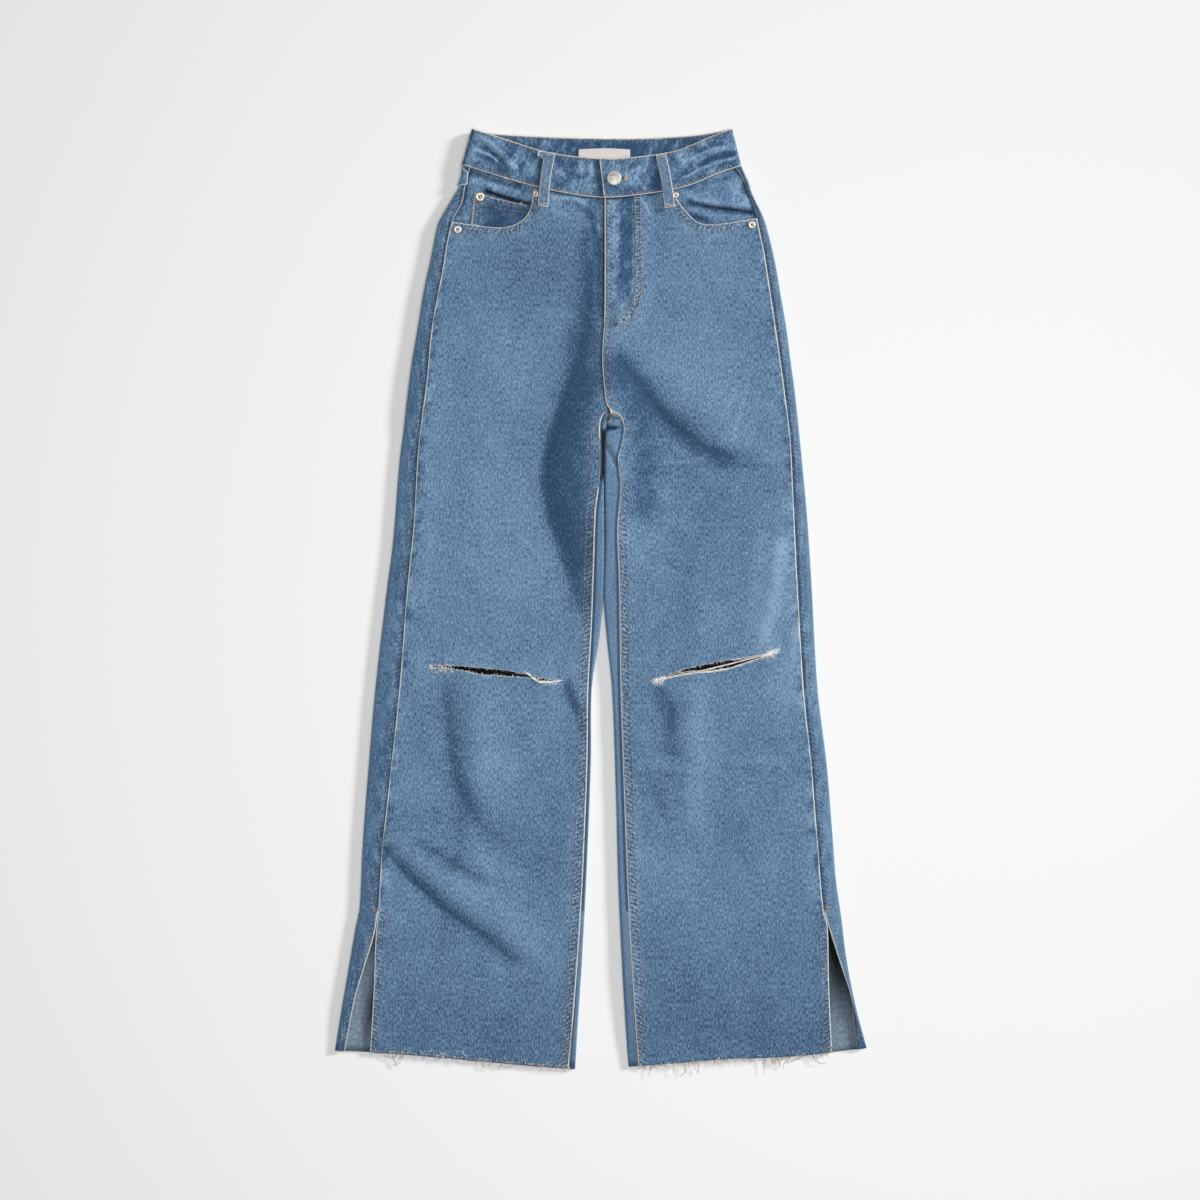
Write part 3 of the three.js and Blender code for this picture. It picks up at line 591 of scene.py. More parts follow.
def node_group(name, inputs, outputs):
    """A new group, the graph in it, what it's given and where its results go."""
    tree = bpy.data.node_groups.new(name, "ShaderNodeTree")
    for way, sockets in (("INPUT", inputs), ("OUTPUT", outputs)):
        for socket in sockets:
            kind = "NodeSocketVector" if socket == "Cut" else "NodeSocketFloat"
            tree.interface.new_socket(socket, in_out=way, socket_type=kind)
    given, results = tree.nodes.new("NodeGroupInput"), tree.nodes.new("NodeGroupOutput")
    return tree, Graph(tree), given.outputs, results.inputs


def weave_group():
    """Washed denim twill: the tone from 0 to 1 over the pattern, and the height of its threads."""
    tree, graph, given, results = node_group(
        "denim_weave", ("Cut", "Fade", "Crumple"), ("Tone", "Height"))
    cut = given["Cut"]
    slub = graph.noise(cut, (560, 235, 1), 2, 0.65)
    weft = graph.noise(cut, (360, 760, 1), 3, 0.65)
    speck = graph.noise(cut, (1050, 900, 1), 2, 0.7)
    patch = graph.noise(cut, (46, 34, 1), 3, 0.6)
    wash = graph.noise(cut, (11, 8, 1), 2, 0.5)
    streak = graph.noise(cut, (150, 52, 1), 2, 0.5)
    diagonal = graph.mapping(cut, Rotation=(0, 0, radians(-27)), Scale=(172, 172, 172))
    twill = graph.new("TexWave", {"Vector": diagonal, "Scale": 1, "Distortion": 1.4, "Detail": 1})
    twill = twill.outputs["Fac"]

    tone = 0.5
    for source, share in (
            (slub, 2.1), (weft, 0.7), (speck, 1.5), (streak, 0.25), (patch, 0.3), (wash, 0.3),
            (twill, 0.12)):
        tone = graph.add(tone, graph.times(graph.less(source, 0.5), share))
    # The carried wash tone, with its painted shade and highlights.
    tone = graph.add(tone, graph.times(given["Fade"], 0.5), True)
    dyed = graph.times(graph.less(slub, 0.44), 0.7)  # threads that stay paler where it's darkest
    tone = graph.maths("MAXIMUM", tone, dyed)

    bent = graph.mapping(cut, Rotation=(0, 0, radians(32)))
    crease = graph.less(graph.noise(bent, (118, 42, 1), 2, 0.45), 0.5)
    crease = graph.less(1, graph.ramp(graph.maths("ABSOLUTE", crease, 0), 0.0, 0.035))
    blot = graph.noise(bent, (86, 40, 1), 3, 0.55)
    crease = graph.times(crease, graph.ramp(blot, 0.46, 0.62))
    vein = graph.add(graph.times(crease, 0.8), graph.times(graph.less(blot, 0.5), 2.2))
    vein = graph.times(given["Crumple"], vein)
    graph.feed(results["Tone"], graph.add(tone, graph.times(vein, 0.62), True))
    height = graph.add(graph.times(twill, 0.35), slub)
    height = graph.add(height, graph.times(vein, 0.8))
    graph.feed(results["Height"], graph.add(height, graph.times(weft, 0.7)))
    return tree


def wear_group():
    """Abrasion at sewn and raw edges: a pale mask, a dark mask, and the height of the roping."""
    tree, graph, given, results = node_group(
        "seam_wear", ("Seam", "Run", "Rope", "Raw"), ("Pale", "Dark", "Height"))
    seam, run, rope, raw = (given[name] for name in ("Seam", "Run", "Rope", "Raw"))
    place = graph.new("CombineXYZ", {0: graph.add(run, graph.times(seam, 0.45)), 1: seam}).outputs[0]
    broken = graph.noise(place, (310, 330, 1), 2, 0.6)
    uneven = graph.noise(place, (90, 150, 1), 2, 0.55)
    turns = graph.add(run, graph.add(graph.times(seam, 0.5), graph.times(uneven, 8 * MM)))
    turns = graph.times(turns, 2 * pi / ROPE_PITCH)
    twist = graph.add(graph.times(graph.maths("SINE", turns, 0), 0.13), broken)
    edge = graph.less(1, graph.ramp(seam, 0.8 * MM, 1.7 * MM))
    edge = graph.times(edge, graph.ramp(broken, 0.2, 0.42))
    strand = graph.times(graph.ramp(twist, 0.54, 0.72), rope)
    groove = graph.times(graph.ramp(twist, 0.48, 0.3), rope)
    frayed = graph.less(1, graph.ramp(raw, 0.3 * MM, 2.0 * MM))
    frayed = graph.times(frayed, graph.ramp(broken, 0.34, 0.6))
    pale = graph.maths("MAXIMUM", edge, frayed)
    graph.feed(results["Pale"], graph.maths("MAXIMUM", pale, graph.times(strand, 0.32), True))
    graph.feed(results["Dark"], groove)
    graph.feed(results["Height"], graph.less(strand, groove))
    return tree


ROPE_PITCH = 5.2 * MM  # from one twisted pucker beside a seam to the next
denim_weave = weave_group()
seam_wear = wear_group()


def denim_material(name, dark, light, ivory, inside=False):
    """Denim of two thread colours, abraded to ivory where it wears, with painted shade mixed in."""
    material, shader = new_material(name, {
        "Roughness": 0.88, "Specular IOR Level": 0.18, "Sheen Weight": 0.12, "Sheen Roughness": 0.5})
    graph = Graph(material.node_tree)
    carried = {key: graph.new("Attribute", {}, attribute_name=key).outputs["Fac"] for key in WEAR_AND_SHADE}
    cut = graph.new("Attribute", {}, attribute_name="cut").outputs["Vector"]
    weave = graph.new("Group", {}, node_tree=denim_weave)
    for socket, value in (("Cut", cut), ("Fade", carried["fade"]), ("Crumple", carried["crumple"])):
        graph.feed(weave.inputs[socket], value)
    wear = graph.new("Group", {}, node_tree=seam_wear)
    for socket in ("Seam", "Run", "Rope", "Raw"):
        graph.feed(wear.inputs[socket], carried[socket.lower()])
    tone = weave.outputs["Tone"]
    colour = graph.blend(tone, dark, light)
    colour = graph.blend(graph.times(graph.ramp(tone, 0.78, 1.0), 0.3), colour, WORN_BLUE)
    colour = graph.blend(graph.times(wear.outputs["Dark"], 0.85), colour, dark)
    colour = graph.blend(graph.times(wear.outputs["Pale"], 0.86), colour, ivory)
    # Painted shade, nearly black, where the carried tone runs far below the darkest denim: seam grooves, the
    # crotch gap and slot, the fly's edge.
    colour = graph.blend(graph.times(graph.ramp(carried["fade"], -1.9, -3.6), 0.85), colour, PAINTED_CREASE_SHADE)
    # Painted shade, near black, inside the rips, slits and crotch and in the pocket gaps.
    if inside:
        colour = graph.blend(carried["deep"], colour, DEEP_SHADE)
    graph.feed(shader.inputs["Base Color"], colour)
    threads = graph.bump(weave.outputs["Height"], 0.25 * MM, 0.7)
    roping = graph.bump(wear.outputs["Height"], 0.5 * MM, 0.8, Normal=threads)
    graph.feed(shader.inputs["Normal"], roping)
    return material


WORN_BLUE = (0.34, 0.42, 0.50)
PAINTED_CREASE_SHADE = (0.008, 0.011, 0.018)
DEEP_SHADE = (0.003, 0.0035, 0.005)
IVORY = (0.72, 0.68, 0.61)
denim = denim_material("washed_denim", (0.026, 0.069, 0.142), (0.210, 0.352, 0.522), IVORY)
denim_inside = denim_material("denim_wrong_side", (0.12, 0.17, 0.235), (0.25, 0.32, 0.41), IVORY, True)
facing_denim = denim_material("facing_denim", (0.022, 0.058, 0.125), (0.185, 0.32, 0.49), IVORY, True)


def hem_shade(y):
    """The legs are a little darker towards the hems."""
    return 0.32 * rising(-y, 330, 520)


def back_wear_and_shade(leg, x, y, z, step, row):
    """Finish of a back panel: seams at both ends of its path, the hem and the slit's edge, with painted shade
    in the seam grooves, the crotch gap and slot, and inside.
    """
    seam = np.where(row <= SLIT_TOP_Y, leg.slit_edge(y), leg.side_seam(y))
    top = z > (under_y(row) + loft_y(row)) / 2
    at_side = np.where(top & (step <= STRIP), np.abs(x - seam), FAR)
    rolled = step > STRIP + BEND + BOTTOM
    at_inseam = np.where(top & rolled, np.abs(x - leg.inseam(y)), FAR)
    outline = np.where(np.abs(step - STRIP - BEND / 2) < BEND / 2, 0.4, 0.0)
    blotch = wander(x, y, 9 * MM, 11) * falling(at_side, 3, 20)
    hem = np.abs(y - hem_y(x))
    in_slit = row < SLIT_TOP_Y
    # Painted shade beside the side seams and inseams, in the grooves where the front's edge meets the back.
    crease_shade = np.where(in_slit, 0, 1.7) * falling(np.minimum(at_side, at_inseam), 1.6, 4.2)
    # Painted near-black shade in the slot under the gusset's lower edge.
    if leg.side > 0:  # the gusset's lower edge folds away from the leg's rolled strip
        to_fold = (y - 199.2 * MM - 0.12 * (x - 14 * MM)) / mix(2.0 * MM, 0.9 * MM, rising(x, 8, 22))
        crease_shade = crease_shade + 6 * np.exp(-to_fold ** 2) * top * rolled * falling(x, 21, 24)
    # Painted near-black shade in the gap beside the crotch.
    if leg.side < 0:  # deep in the gap beside the crotch
        gap = rising(y, 134, 150) * falling(y, 192, 199)
        gap = gap * rising(z - under_y(row), 0.4, 1.6) * rolled
        crease_shade = crease_shade + 7 * gap * (1 - rising(x, 3.2, 4.2) * top)
    # The right leg's side strip darker and the left one's a little paler, and the left one darker near its
    # hem.
    crease_shade = crease_shade + (0.5 if leg.side < 0 else -0.1) * (at_side < FAR)
    crease_shade = crease_shade + 0.9 * ((leg.side > 0) & (y < -474 * MM) & (at_side < FAR))
    # Painted shade inside the slits: beside the front's edge on the right leg, over the slit's upper part and
    # beside its edge on the left leg.
    under = z < under_y(row) + CLOTH
    to_front = (np.abs(x) - np.abs(leg.side_seam(y))) * under + FAR * ~under
    shaded = 0.85 * bell(to_front - 1 * MM, 4.5) if leg.side < 0 else (
        0.74 * bell(to_front, 40) * rising(y, -520, -440)
        + 0.4 * bell(np.abs(x) - leg.slit_edge(y), 9) * under)
    return {
        "seam": np.minimum(at_inseam + 1.5 * MM, at_side + np.where(in_slit, 0.0, 1.5) * MM
                           + 3 * MM * (leg.side > 0) * rising(-y, 466, 482)),
        "run": y, "rope": 0.5 * falling(at_side, 7, 11),
        "fade": 0.3 * blotch - crease_shade - 0.16 * outline + 0.08 * wander(x, y, 40 * MM, 12) - hem_shade(y)
        - 0.8 * falling(hem, 6, 8.5) * (row < SLIT_TOP_Y),
        "raw": hem + 1.3 * MM, "crumple": 0.8 * falling(at_side, 6, 24),
        # Painted shade on the inside by the rips and the crotch, and inside the slits and along their hem.
        "deep": np.maximum(np.exp(-((y + 83 * MM) / (26 * MM)) ** 4), 0.97 * np.exp(
            -((y - 209 * MM) / (22 * MM)) ** 4 - (x / (34 * MM)) ** 4)) + (
                shaded + 0.4 * falling(hem, 2.6, 3.8)) * in_slit,
    }


def back_place(leg, rows, roll_of, height_of):
    """The steps round a back piece, and its place for cloth_mesh, from row rows[0] to rows[1]."""
    steps = 2 * STRIP + 2 * BEND + BOTTOM

    def place(u, v):
        step = np.round(u * steps)
        row = mix(rows[0], rows[1], v)
        x, z = back_path(leg, step, row, roll_of(leg, row))
        low = z < (under_y(row) + loft_y(row) + CLOTH) / 2
        y = height_of(row, x, low)
        top = smooth(z, under_y(row) + 0.6 * (loft_y(row) + CLOTH - under_y(row)), loft_y(row) + CLOTH)
        height = (z - under_y(row)) / (loft_y(row) + CLOTH - under_y(row))
        lift = smooth(height, 0.1, 0.9) * crotch_lift(x, y)
        if leg.side < 0:  # the right leg's strip drops into the gap beside the crotch
            gap = rising(y, 140, 154) * falling(y, 190, 198)
            away = 1 - bell(x - leg.inseam(y), 2.2)
            lift = lift * (1 - gap * away * (step > STRIP + BEND))
        z = z + top * folds_at(x, y) + lift
        beside = bell(x - leg.side_seam(y), 4) * top * (step < STRIP + 1)
        z = z - 0.8 * MM * beside * (row > SLIT_TOP_Y)
        seat = under_y(row) > 1.2 * MM
        z = np.where(low & seat & (z < 2.2 * MM), z + 0.25 * MM * wander(x, y, 22 * MM, 13), z)
        return {"co": (x, y, z), "cut": (u * 0.3, row), **back_wear_and_shade(leg, x, y, z, step, row)}

    return steps, place


def yoke_drop(leg, x):
    """How far the yoke seam dips towards the centre back."""
    return YOKE_DROP * (1 - np.minimum(np.abs(x / leg.outline(YOKE_SIDE_Y)), 1))


for name, leg in LEGS.items():
    def leg_height(row, x, low, leg=leg):
        drop = np.where(low, yoke_drop(leg, x), 0) * smooth(row, 310 * MM, YOKE_SIDE_Y)
        return row_y(leg, row, x) - drop - 2 * SEAM_GAP * (row >= YOKE_SIDE_Y - 1e-9)

    steps, place = back_place(leg, (HEM_Y, YOKE_SIDE_Y), leg_roll, leg_height)
    piece = cloth_mesh(f"back_panel_{name}", [(steps, 300, place)], 2.5 * MM, CLOTH, [denim, denim_inside])
    declare(piece, f"back_{name}")

# ---- Yokes --------------------------------------------------------------------------------------
# The back yokes lie between the back panels and the waistband. They are cut from the same denim,
# meet at the centre back, and roll round the hips to the side seams.

waist_y = curve([[-163, 506.6], [-73.7, 480.2], [2.3, 468], [71.4, 475], [104, 482.6], [135.7, 495.6],
                 [164, 505.4]])
band_back_bottom = curve([[-163, 506.6], [-120, 498.5], [0, 494], [120, 498.5], [164, 505.4]])

for name, leg in LEGS.items():
    def yoke_height(row, x, low, leg=leg):
        share = (row - YOKE_SIDE_Y) / (SIDE_TOP_Y - YOKE_SIDE_Y)
        bottom = YOKE_SIDE_Y - np.where(low, yoke_drop(leg, x), 0)
        top = np.where(low, band_back_bottom(x), waist_y(x)) - 2 * SEAM_GAP
        return mix(bottom, top, share)

    steps, place = back_place(leg, (YOKE_SIDE_Y, SIDE_TOP_Y), no_roll, yoke_height)
    piece = cloth_mesh(f"back_yoke_{name}", [(steps, 24, place)], 4.5 * MM, CLOTH, [denim, denim_inside])
    declare(piece, f"yoke_{name}")

# ---- Back patch pockets --------------------------------------------------------------------------
# Five-sided patches with turned edges, sewn to the seat. The garment lies on them.

SEAT_POCKET_INNER, SEAT_POCKET_OUTER = 38, 168
bottom_y = curve([[SEAT_POCKET_INNER, 284], [72, 269], [104, 258], [136, 273], [SEAT_POCKET_OUTER, 290]])
top_y = curve([[SEAT_POCKET_INNER, 392], [SEAT_POCKET_OUTER, 404]])

for name, leg in LEGS.items():
    def pocket_place(u, v, leg=leg):
        x = mix(SEAT_POCKET_INNER, SEAT_POCKET_OUTER, u) * MM
        y = mix(bottom_y(x), top_y(x), v)
        to_sides = np.minimum(x - SEAT_POCKET_INNER * MM, SEAT_POCKET_OUTER * MM - x)
        edge = np.minimum(to_sides, np.minimum(y - bottom_y(x), top_y(x) - y))
        z = 0.12 * MM * (1 + wander(x, y, 20 * MM, 15)) * rising(edge, 1, 12)
        return {"co": (leg.side * x, y, z), "cut": (x, y), "seam": edge, "run": x + y,
                "rope": 1 - rising(edge, 7, 9), "fade": 0.1 * wander(x, y, 30 * MM, 16)}

    piece = cloth_mesh(
        f"seat_pocket_{name}", [(44, 48, pocket_place)], 10 * MM, POCKET_WALL - 0.24 * MM, [denim])
    declare(piece, f"back_pocket_{name}")

# ---- Pocket facings and coin pocket --------------------------------------------------------------
# Denim facings lie low in the two pocket mouths. The coin pocket is a patch on the right one, with
# a slack upper edge that gapes a little.

POCKET_MOUTHS = {
    "right": [[-182, 441], [-169, 439.6], [-147, 436.4], [-119, 433.6], [-104, 436], [-97.7, 438.8],
              [-90, 444], [-85.4, 450.5], [-81.5, 460], [-79.8, 468], [-79, 482]],
    "left": [[85.5, 477], [86.3, 471], [89.5, 465.5], [95, 457.8], [104, 447.5], [110.4, 441.5],
             [118, 438.3], [125.2, 437.1], [146.3, 438.8], [172, 443], [196, 446.5]],
}
FACING_LAP = 14 * MM


def mouth_facing_z(name, x, y):
    """The facing's upper face: low in the mouth, with a slack fold across it on the left one."""
    z = under_y(y) + 2 * CLOTH + 0.3 * MM + 0.3 * MM * (1 + wander(x, y, 16 * MM, 21))
    if name == "left":
        fold = [[90, 459, 1.5], [106, 459, 4], [121, 457, 4.4], [145, 455, 4], [172, 450, 2]]
        return z + step_height(x, y, fold, 3.2, 17)
    return z + MM * run_sum(x, y, [([[-150, 486], [-112, 474], [-88, 466]], 7, 1.5)])


# The gaping edge in the right mouth and the groove under the left one's fold, which take painted
# near-black shade, and the creases of both, with half-widths and tones of painted highlight and shade.
FACING_GAPS = {
    "right": [[-133, 476], [-120, 471.3], [-107, 467.2], [-97, 464.2], [-83, 460.5]],
    "left": [[104, 463], [120, 458.8], [133, 456.6], [150, 455], [177, 451.4]],
}
FACING_LIGHT_AND_SHADE = {
    "right": [
        ([[-150, 497], [-130, 492], [-100, 482]], 3, -0.6),
        ([[-146, 489], [-128, 484], [-110, 480]], 3, 0.5),
        ([[-157, 496], [-158, 470], [-166, 448]], 2.5, -0.8), ([[-100, 486], [-90, 478]], 3, -0.8)],
    "left": [
        ([[104, 463], [132, 456.6], [145, 455], [177, 451.4]], 3.5, -1.2),
        ([[104, 469], [122, 464], [140, 461.5], [172, 459]], 3.5, 0.7),
        ([[104, 449], [112, 446], [124, 443]], 3, -1.2), ([[100, 480], [120, 486], [150, 492]], 3, -0.7),
        ([[98, 474], [112, 472], [124, 474]], 3, 0.5), ([[150, 486], [158, 474], [170, 466]], 4, 0.5),
        ([[120, 449], [140, 446], [160, 447]], 4, 0.5), ([[170, 484], [180, 462], [184, 448]], 3, -0.8)],
}


for name, leg in LEGS.items():
    mouth = curve(POCKET_MOUTHS[name])
    inner_end = -72 if name == "right" else 79

    def facing_place(u, v, name=name, leg=leg, mouth=mouth, inner_end=inner_end):
        y = 470 * MM
        for gap in (0, leg.side * SEAM_GAP):
            seam_x = leg.side_seam(y) - gap
            x = mix(seam_x, inner_end * MM, u)
            low = np.minimum(mouth(x), 466 * MM) - FACING_LAP
            y = mix(low, waist_y(x) - 2 * SEAM_GAP, v)
        # Painted shadow under the mouth's edge, with painted highlight and shade on the creases.
        shade = wear_and_shade_at(x, y, FACING_LIGHT_AND_SHADE[name]) - 0.5 * falling(y - mouth(x), -2, 7)
        to_gap = to_run(x, y, FACING_GAPS[name])[0]
        # Painted shade over the right facing's lower right and round its gap, and painted near-black shade in
        # the gap and under the left one's fold.
        if name == "right":
            shade = shade - 0.9 * rising(x, -97, -88) * falling(y, 458, 468)
            shade = shade - 0.8 * falling(to_gap, 2.4, 5)
            deep = 0.93 * falling(to_gap, 1.1, 2.8)
        else:
            deep = 0.7 * bell(to_gap, 1.5) * rising(x, 108, 124)
        # Painted shade beside the side seam.
        shade = shade - 2.4 * bell(np.abs(x - seam_x) - 2.4 * MM, 1)
        return {"co": (x, y, mouth_facing_z(name, x, y)), "cut": (x, y), "run": y, "crumple": 0.8,
                "seam": np.abs(x - seam_x) + (0.3 if name == "right" else 0.9) * MM, "deep": deep,
                "fade": shade + 0.15 * wander(x, y, 18 * MM, 22) + 0.06}

    piece = cloth_mesh(f"pocket_facing_cloth_{name}", [(88, 70, facing_place)], 0, CLOTH,
                       [facing_denim, denim_inside])
    declare(piece, f"pocket_facing_{name}")

COIN_CORNERS = np.array([[-153, 424], [-92, 432], [-83.4, 459.8], [-147.6, 474.4]]) * MM  # from low left
coin_floor = SEAT_RISE + 3 * CLOTH + 0.7 * MM


def coin_place(u, v):
    low_left, low_right, high_right, high_left = COIN_CORNERS
    x, y = (
        mix(mix(low_left[k], low_right[k], u), mix(high_left[k], high_right[k], u), v) for k in (0, 1))
    arch = np.sin(pi * u)
    sag = arch * smooth(v, 0.7, 1)
    y = y - (1.6 * sag - 0.8 * wander(u * 40 * MM, 0, 5 * MM, 26) * smooth(v, 0.8, 1) * arch) * MM
    top_edge, left_edge = (1 - v) * 50 * MM, u * 62 * MM
    z = coin_floor + 2.6 * MM * sag + 0.35 * MM * wander(x, y, 14 * MM, 24)
    z = z + 0.5 * MM * np.exp(-((v - 0.62) / 0.05) ** 2) * np.sin(pi * u)
    edge = np.minimum(top_edge + 0.6 * MM, left_edge)
    # Darker overall, with painted shade over its lower right by the pocket mouth's edge.
    return {"co": (x, y, z), "cut": (x * 0.96 + 0.3, y), "seam": edge, "run": x + y,
            "rope": 1 - rising(edge, 6, 8), "crumple": 0.5,
            "fade": 0.12 * wander(x, y, 12 * MM, 25) - 0.35 - 0.85 * smooth(u, 0.1, 0.4) * (
                1 - smooth(v, 0.72, 0.86))}


piece = cloth_mesh("coin_pocket_cloth", [(40, 34, coin_place)], 0, CLOTH, [facing_denim, denim_inside])
declare(piece, "coin_pocket")

# ---- Front leg panels ----------------------------------------------------------------------------
# Two panels sewn between the side seams, the inseams and the fly, cut away at the pocket mouths and
# left raw at the hem. Each is ripped across the knee: the right one gapes, the left one is still
# bridged by its weft. The left front laps over the right one at the fly.

RIPS = {  # upper and lower lip of each rip
    "right": ([[-199, -79.5], [-190, -78], [-168, -78.3], [-141.6, -80.6], [-110, -83.7], [-85.4, -88.7],
               [-70, -92], [-60, -94.5], [-47, -95.5]],
              [[-199, -79.5], [-190, -80.5], [-166.5, -83], [-141.6, -87.8], [-110, -90.4], [-85.4, -92],
               [-74, -96], [-64, -99.5], [-56, -98.5], [-47, -95.5]]),
    "left": ([[66, -96], [81, -88], [95.6, -83], [117, -77.5], [139, -73.1], [170, -68.4], [188, -65.8],
              [200, -63]],
             [[66, -96], [81, -92.5], [95.6, -89.3], [117, -86.4], [139, -83], [155, -80], [170, -75.6],
              [186, -70], [200, -63]]),
}
RIP_REACH = 85 * MM  # rows this near a rip bend with it
FLY_FOOT_Y = 332 * MM
FLY_LAP = 8 * MM
TOP_BLEND_Y = 300 * MM


def front_edge(name, leg):
    """The upper edge of a front panel: the pocket mouth, then the waist seam."""
    mouth = curve(POCKET_MOUTHS[name])
    inner_end = POCKET_MOUTHS[name][-1 if name == "right" else 0][0]

    def at(x):
        in_mouth = x < inner_end * MM if name == "right" else x > inner_end * MM
        return np.where(in_mouth, np.minimum(mouth(x), waist_y(x)), waist_y(x)) - 2 * SEAM_GAP

    return at


def fly_inset(name, y):
    """How far past the fly's line a front reaches: the right one lies under the left one."""
    at_fly = smooth(y, FLY_FOOT_Y - 4 * MM, FLY_FOOT_Y + 10 * MM)
    return FLY_LAP * at_fly if name == "right" else 0 * at_fly


def fly_lift(name, x, y):
    """The left front's folded fly stands a little higher, and the right one runs in under it."""
    at_fly = smooth(y, FLY_FOOT_Y - 14 * MM, FLY_FOOT_Y + 20 * MM)
    fly_x = LEGS["left"].inseam(y)
    if name == "left":
        return 2.0 * MM * at_fly * falling(x - fly_x, 34, 62)
    dip = -1.2 * MM * at_fly * rising(x - fly_x, -14, -3)
    return dip + 0.5 * MM * at_fly * bell(x - fly_x + 15 * MM, 6)


def rip_lips(name):
    return [curve(lip) for lip in RIPS[name]]


def rip_ends(name):
    """x of a rip's two ends in millimetres."""
    return RIPS[name][0][0][0], RIPS[name][0][-1][0]


def rip_lift(name, x, y):
    """The lips of a rip stand up a little, the upper one more."""
    (upper, lower), (low_x, high_x) = rip_lips(name), rip_ends(name)
    inside = rising(x, low_x, low_x + 25) * falling(x, high_x - 25, high_x)
    above, below = y - upper(x), lower(x) - y
    lift = 1.5 * bell(np.maximum(above, 0), 7) * (above > -1 * MM)
    lift = lift + 0.9 * bell(np.maximum(below, 0), 6) * (below > -1 * MM)
    return lift * inside * MM


def front_surface(name, x, y):
    """Upper face of a front panel with everything that shapes it."""
    return front_top(x, y) + fly_lift(name, x, y) + rip_lift(name, x, y)


FLY_ROWS_MIDDLE = [
    [42.2, 474], [43.4, 430], [43.9, 361], [40.8, 345], [34.5, 332.5], [25.5, 323.5], [14, 319]]


def front_wear_and_shade(name, leg, x, y):
    """Finish of a front panel: worn seams and rip, roped edges, and painted highlights and shade on the
    creases and slopes.
    """
    to_mouth, mouth_place = to_run(x, y, POCKET_MOUTHS[name])
    to_side = np.abs(x - leg.side_seam(y))
    uneven = (0.1 + 0.5 * wander(x * 0, y, 14 * MM, 36)) * MM
    to_side = np.where(y < SLIT_TOP_Y, to_side, to_side + uneven)
    to_inseam = np.abs(x - leg.inseam(y))
    fly = y > FLY_FOOT_Y - 2 * MM
    if name == "right":
        to_inseam = np.where(fly, FAR, to_inseam)
        curled = rising(y, 124, 140) * falling(y, 178, 190)
        to_inseam = to_inseam + 3 * MM * np.maximum(curled, rising(y, 216, 222))
    else:
        to_inseam = to_inseam + 0.5 * MM * rising(y, 90, 130) * falling(y, 200, 216)
    to_waist = waist_y(x) - y + 1.2 * MM
    seam = np.minimum(np.minimum(to_side, to_inseam), np.minimum(to_mouth, to_waist))
    at_mouth = falling(to_mouth, 8.5, 10.5)
    at_inseam = falling(to_inseam, 10, 12.5) * (~fly) * (1 - 0.7 * rising(y, 110, 150))
    at_slit = falling(to_side, 8, 10) * (y < SLIT_TOP_Y) * 0.7
    rope = np.maximum(np.maximum(at_mouth, at_inseam), at_slit)
    run = np.where(to_mouth < to_inseam, mouth_place, y)
    if name == "left":  # between the fly's curved rows, and along its folded edge
        to_rows, rows_place = to_run(x, y, FLY_ROWS_MIDDLE)
        between = falling(to_rows, 3.2, 4.6)
        folded = falling(np.abs(x - leg.inseam(y) - 4.5 * MM), 3.6, 4.8) * (y > 322 * MM)
        rope = np.maximum(rope, np.maximum(1.25 * between * (y > 312 * MM), 0.8 * folded))
        run = np.where(between > 0, rows_place, run)
    blotch = wander(x, y, 8 * MM, 31) * falling(to_side, 2, 16) * 0.3
    to_sewn = np.minimum(to_inseam, to_mouth)
    blotch = blotch + 0.2 * wander(x, y, 10 * MM, 32) * falling(to_sewn, 9, 26)
    tucked = smooth(wander(x * 0, y, 5.5 * MM, 41), 0.05, 0.6) * (y > SLIT_TOP_Y)
    blotch = blotch - 0.55 * tucked * falling(to_side, 3, 12)
    thigh = 0.12 * bell(np.abs(x) - 130 * MM, 75) * (1 - 0.4 * rising(-y, 150, 400))
    if name == "left":  # the fly's placket is folded, so it washed darker beside its inner stitching
        past_fly = x - leg.inseam(y)
        placket = rising(past_fly, 15, 21) * falling(past_fly, 30, 34)
        worn = rising(past_fly, 1, 5) * falling(past_fly, 12, 18)
        streak = wander(x, y * 0.35, 4 * MM, 34)
        deepest = bell(y - 382 * MM, 24)
        blotch = blotch + rising(y, 330, 374) * (
            placket * (-0.95 + 0.3 * streak) + worn * (0.4 + 0.4 * streak))
        blotch = blotch - (0.75 - 0.3 * streak) * deepest * rising(past_fly, 3, 7) * falling(past_fly, 16, 22)
    # Painted shadow under the waistband's edge.
    under_band = to_waist - 1.2 * MM
    blotch = blotch - 1.1 * falling(under_band, 0.6, 3.4)
    # Painted shade towards +x, the left front, evening out the brighter key light there.
    blotch = blotch - 0.12 * rising(x, -60, 140)
    if name == "right":  # the fly and the rise shade this edge
        at_edge = falling(leg.inseam(y) - x, 0.4, 2.4)
        blotch = blotch - 4.2 * at_edge * rising(y, 214, 224)
    crumpled = 0.7 * falling(to_side, 4, 15)
    crumpled = np.maximum(crumpled, 0.55 * falling(to_mouth, 10, 22))
    crumpled = np.maximum(crumpled, 0.6 * falling(to_waist, 8, 30) * (np.abs(x) < 80 * MM))
    if name == "left":
        crumpled = np.maximum(crumpled, 0.8 * rising(y, 306, 330) * falling(past_fly, 30, 46))
    blotch = blotch - 0.5 * falling(np.abs(y - hem_y(x)), 1, 4)
    # Painted shade over the right hip's slope and in a band just left of the fly.
    hip = np.exp(-((x + 95 * MM) / (70 * MM)) ** 2 - ((y - 380 * MM) / (60 * MM)) ** 2)
    blotch = blotch - 0.42 * hip - 0.3 * bell(x + 8 * MM, 16) * rising(y, 300, 380)
    # Ridges paler and troughs darker: partly worn tone, partly painted light and shade.
    fold_shade_and_wear = np.clip(folds_at(x, y) / (3 * MM), -1, 1)
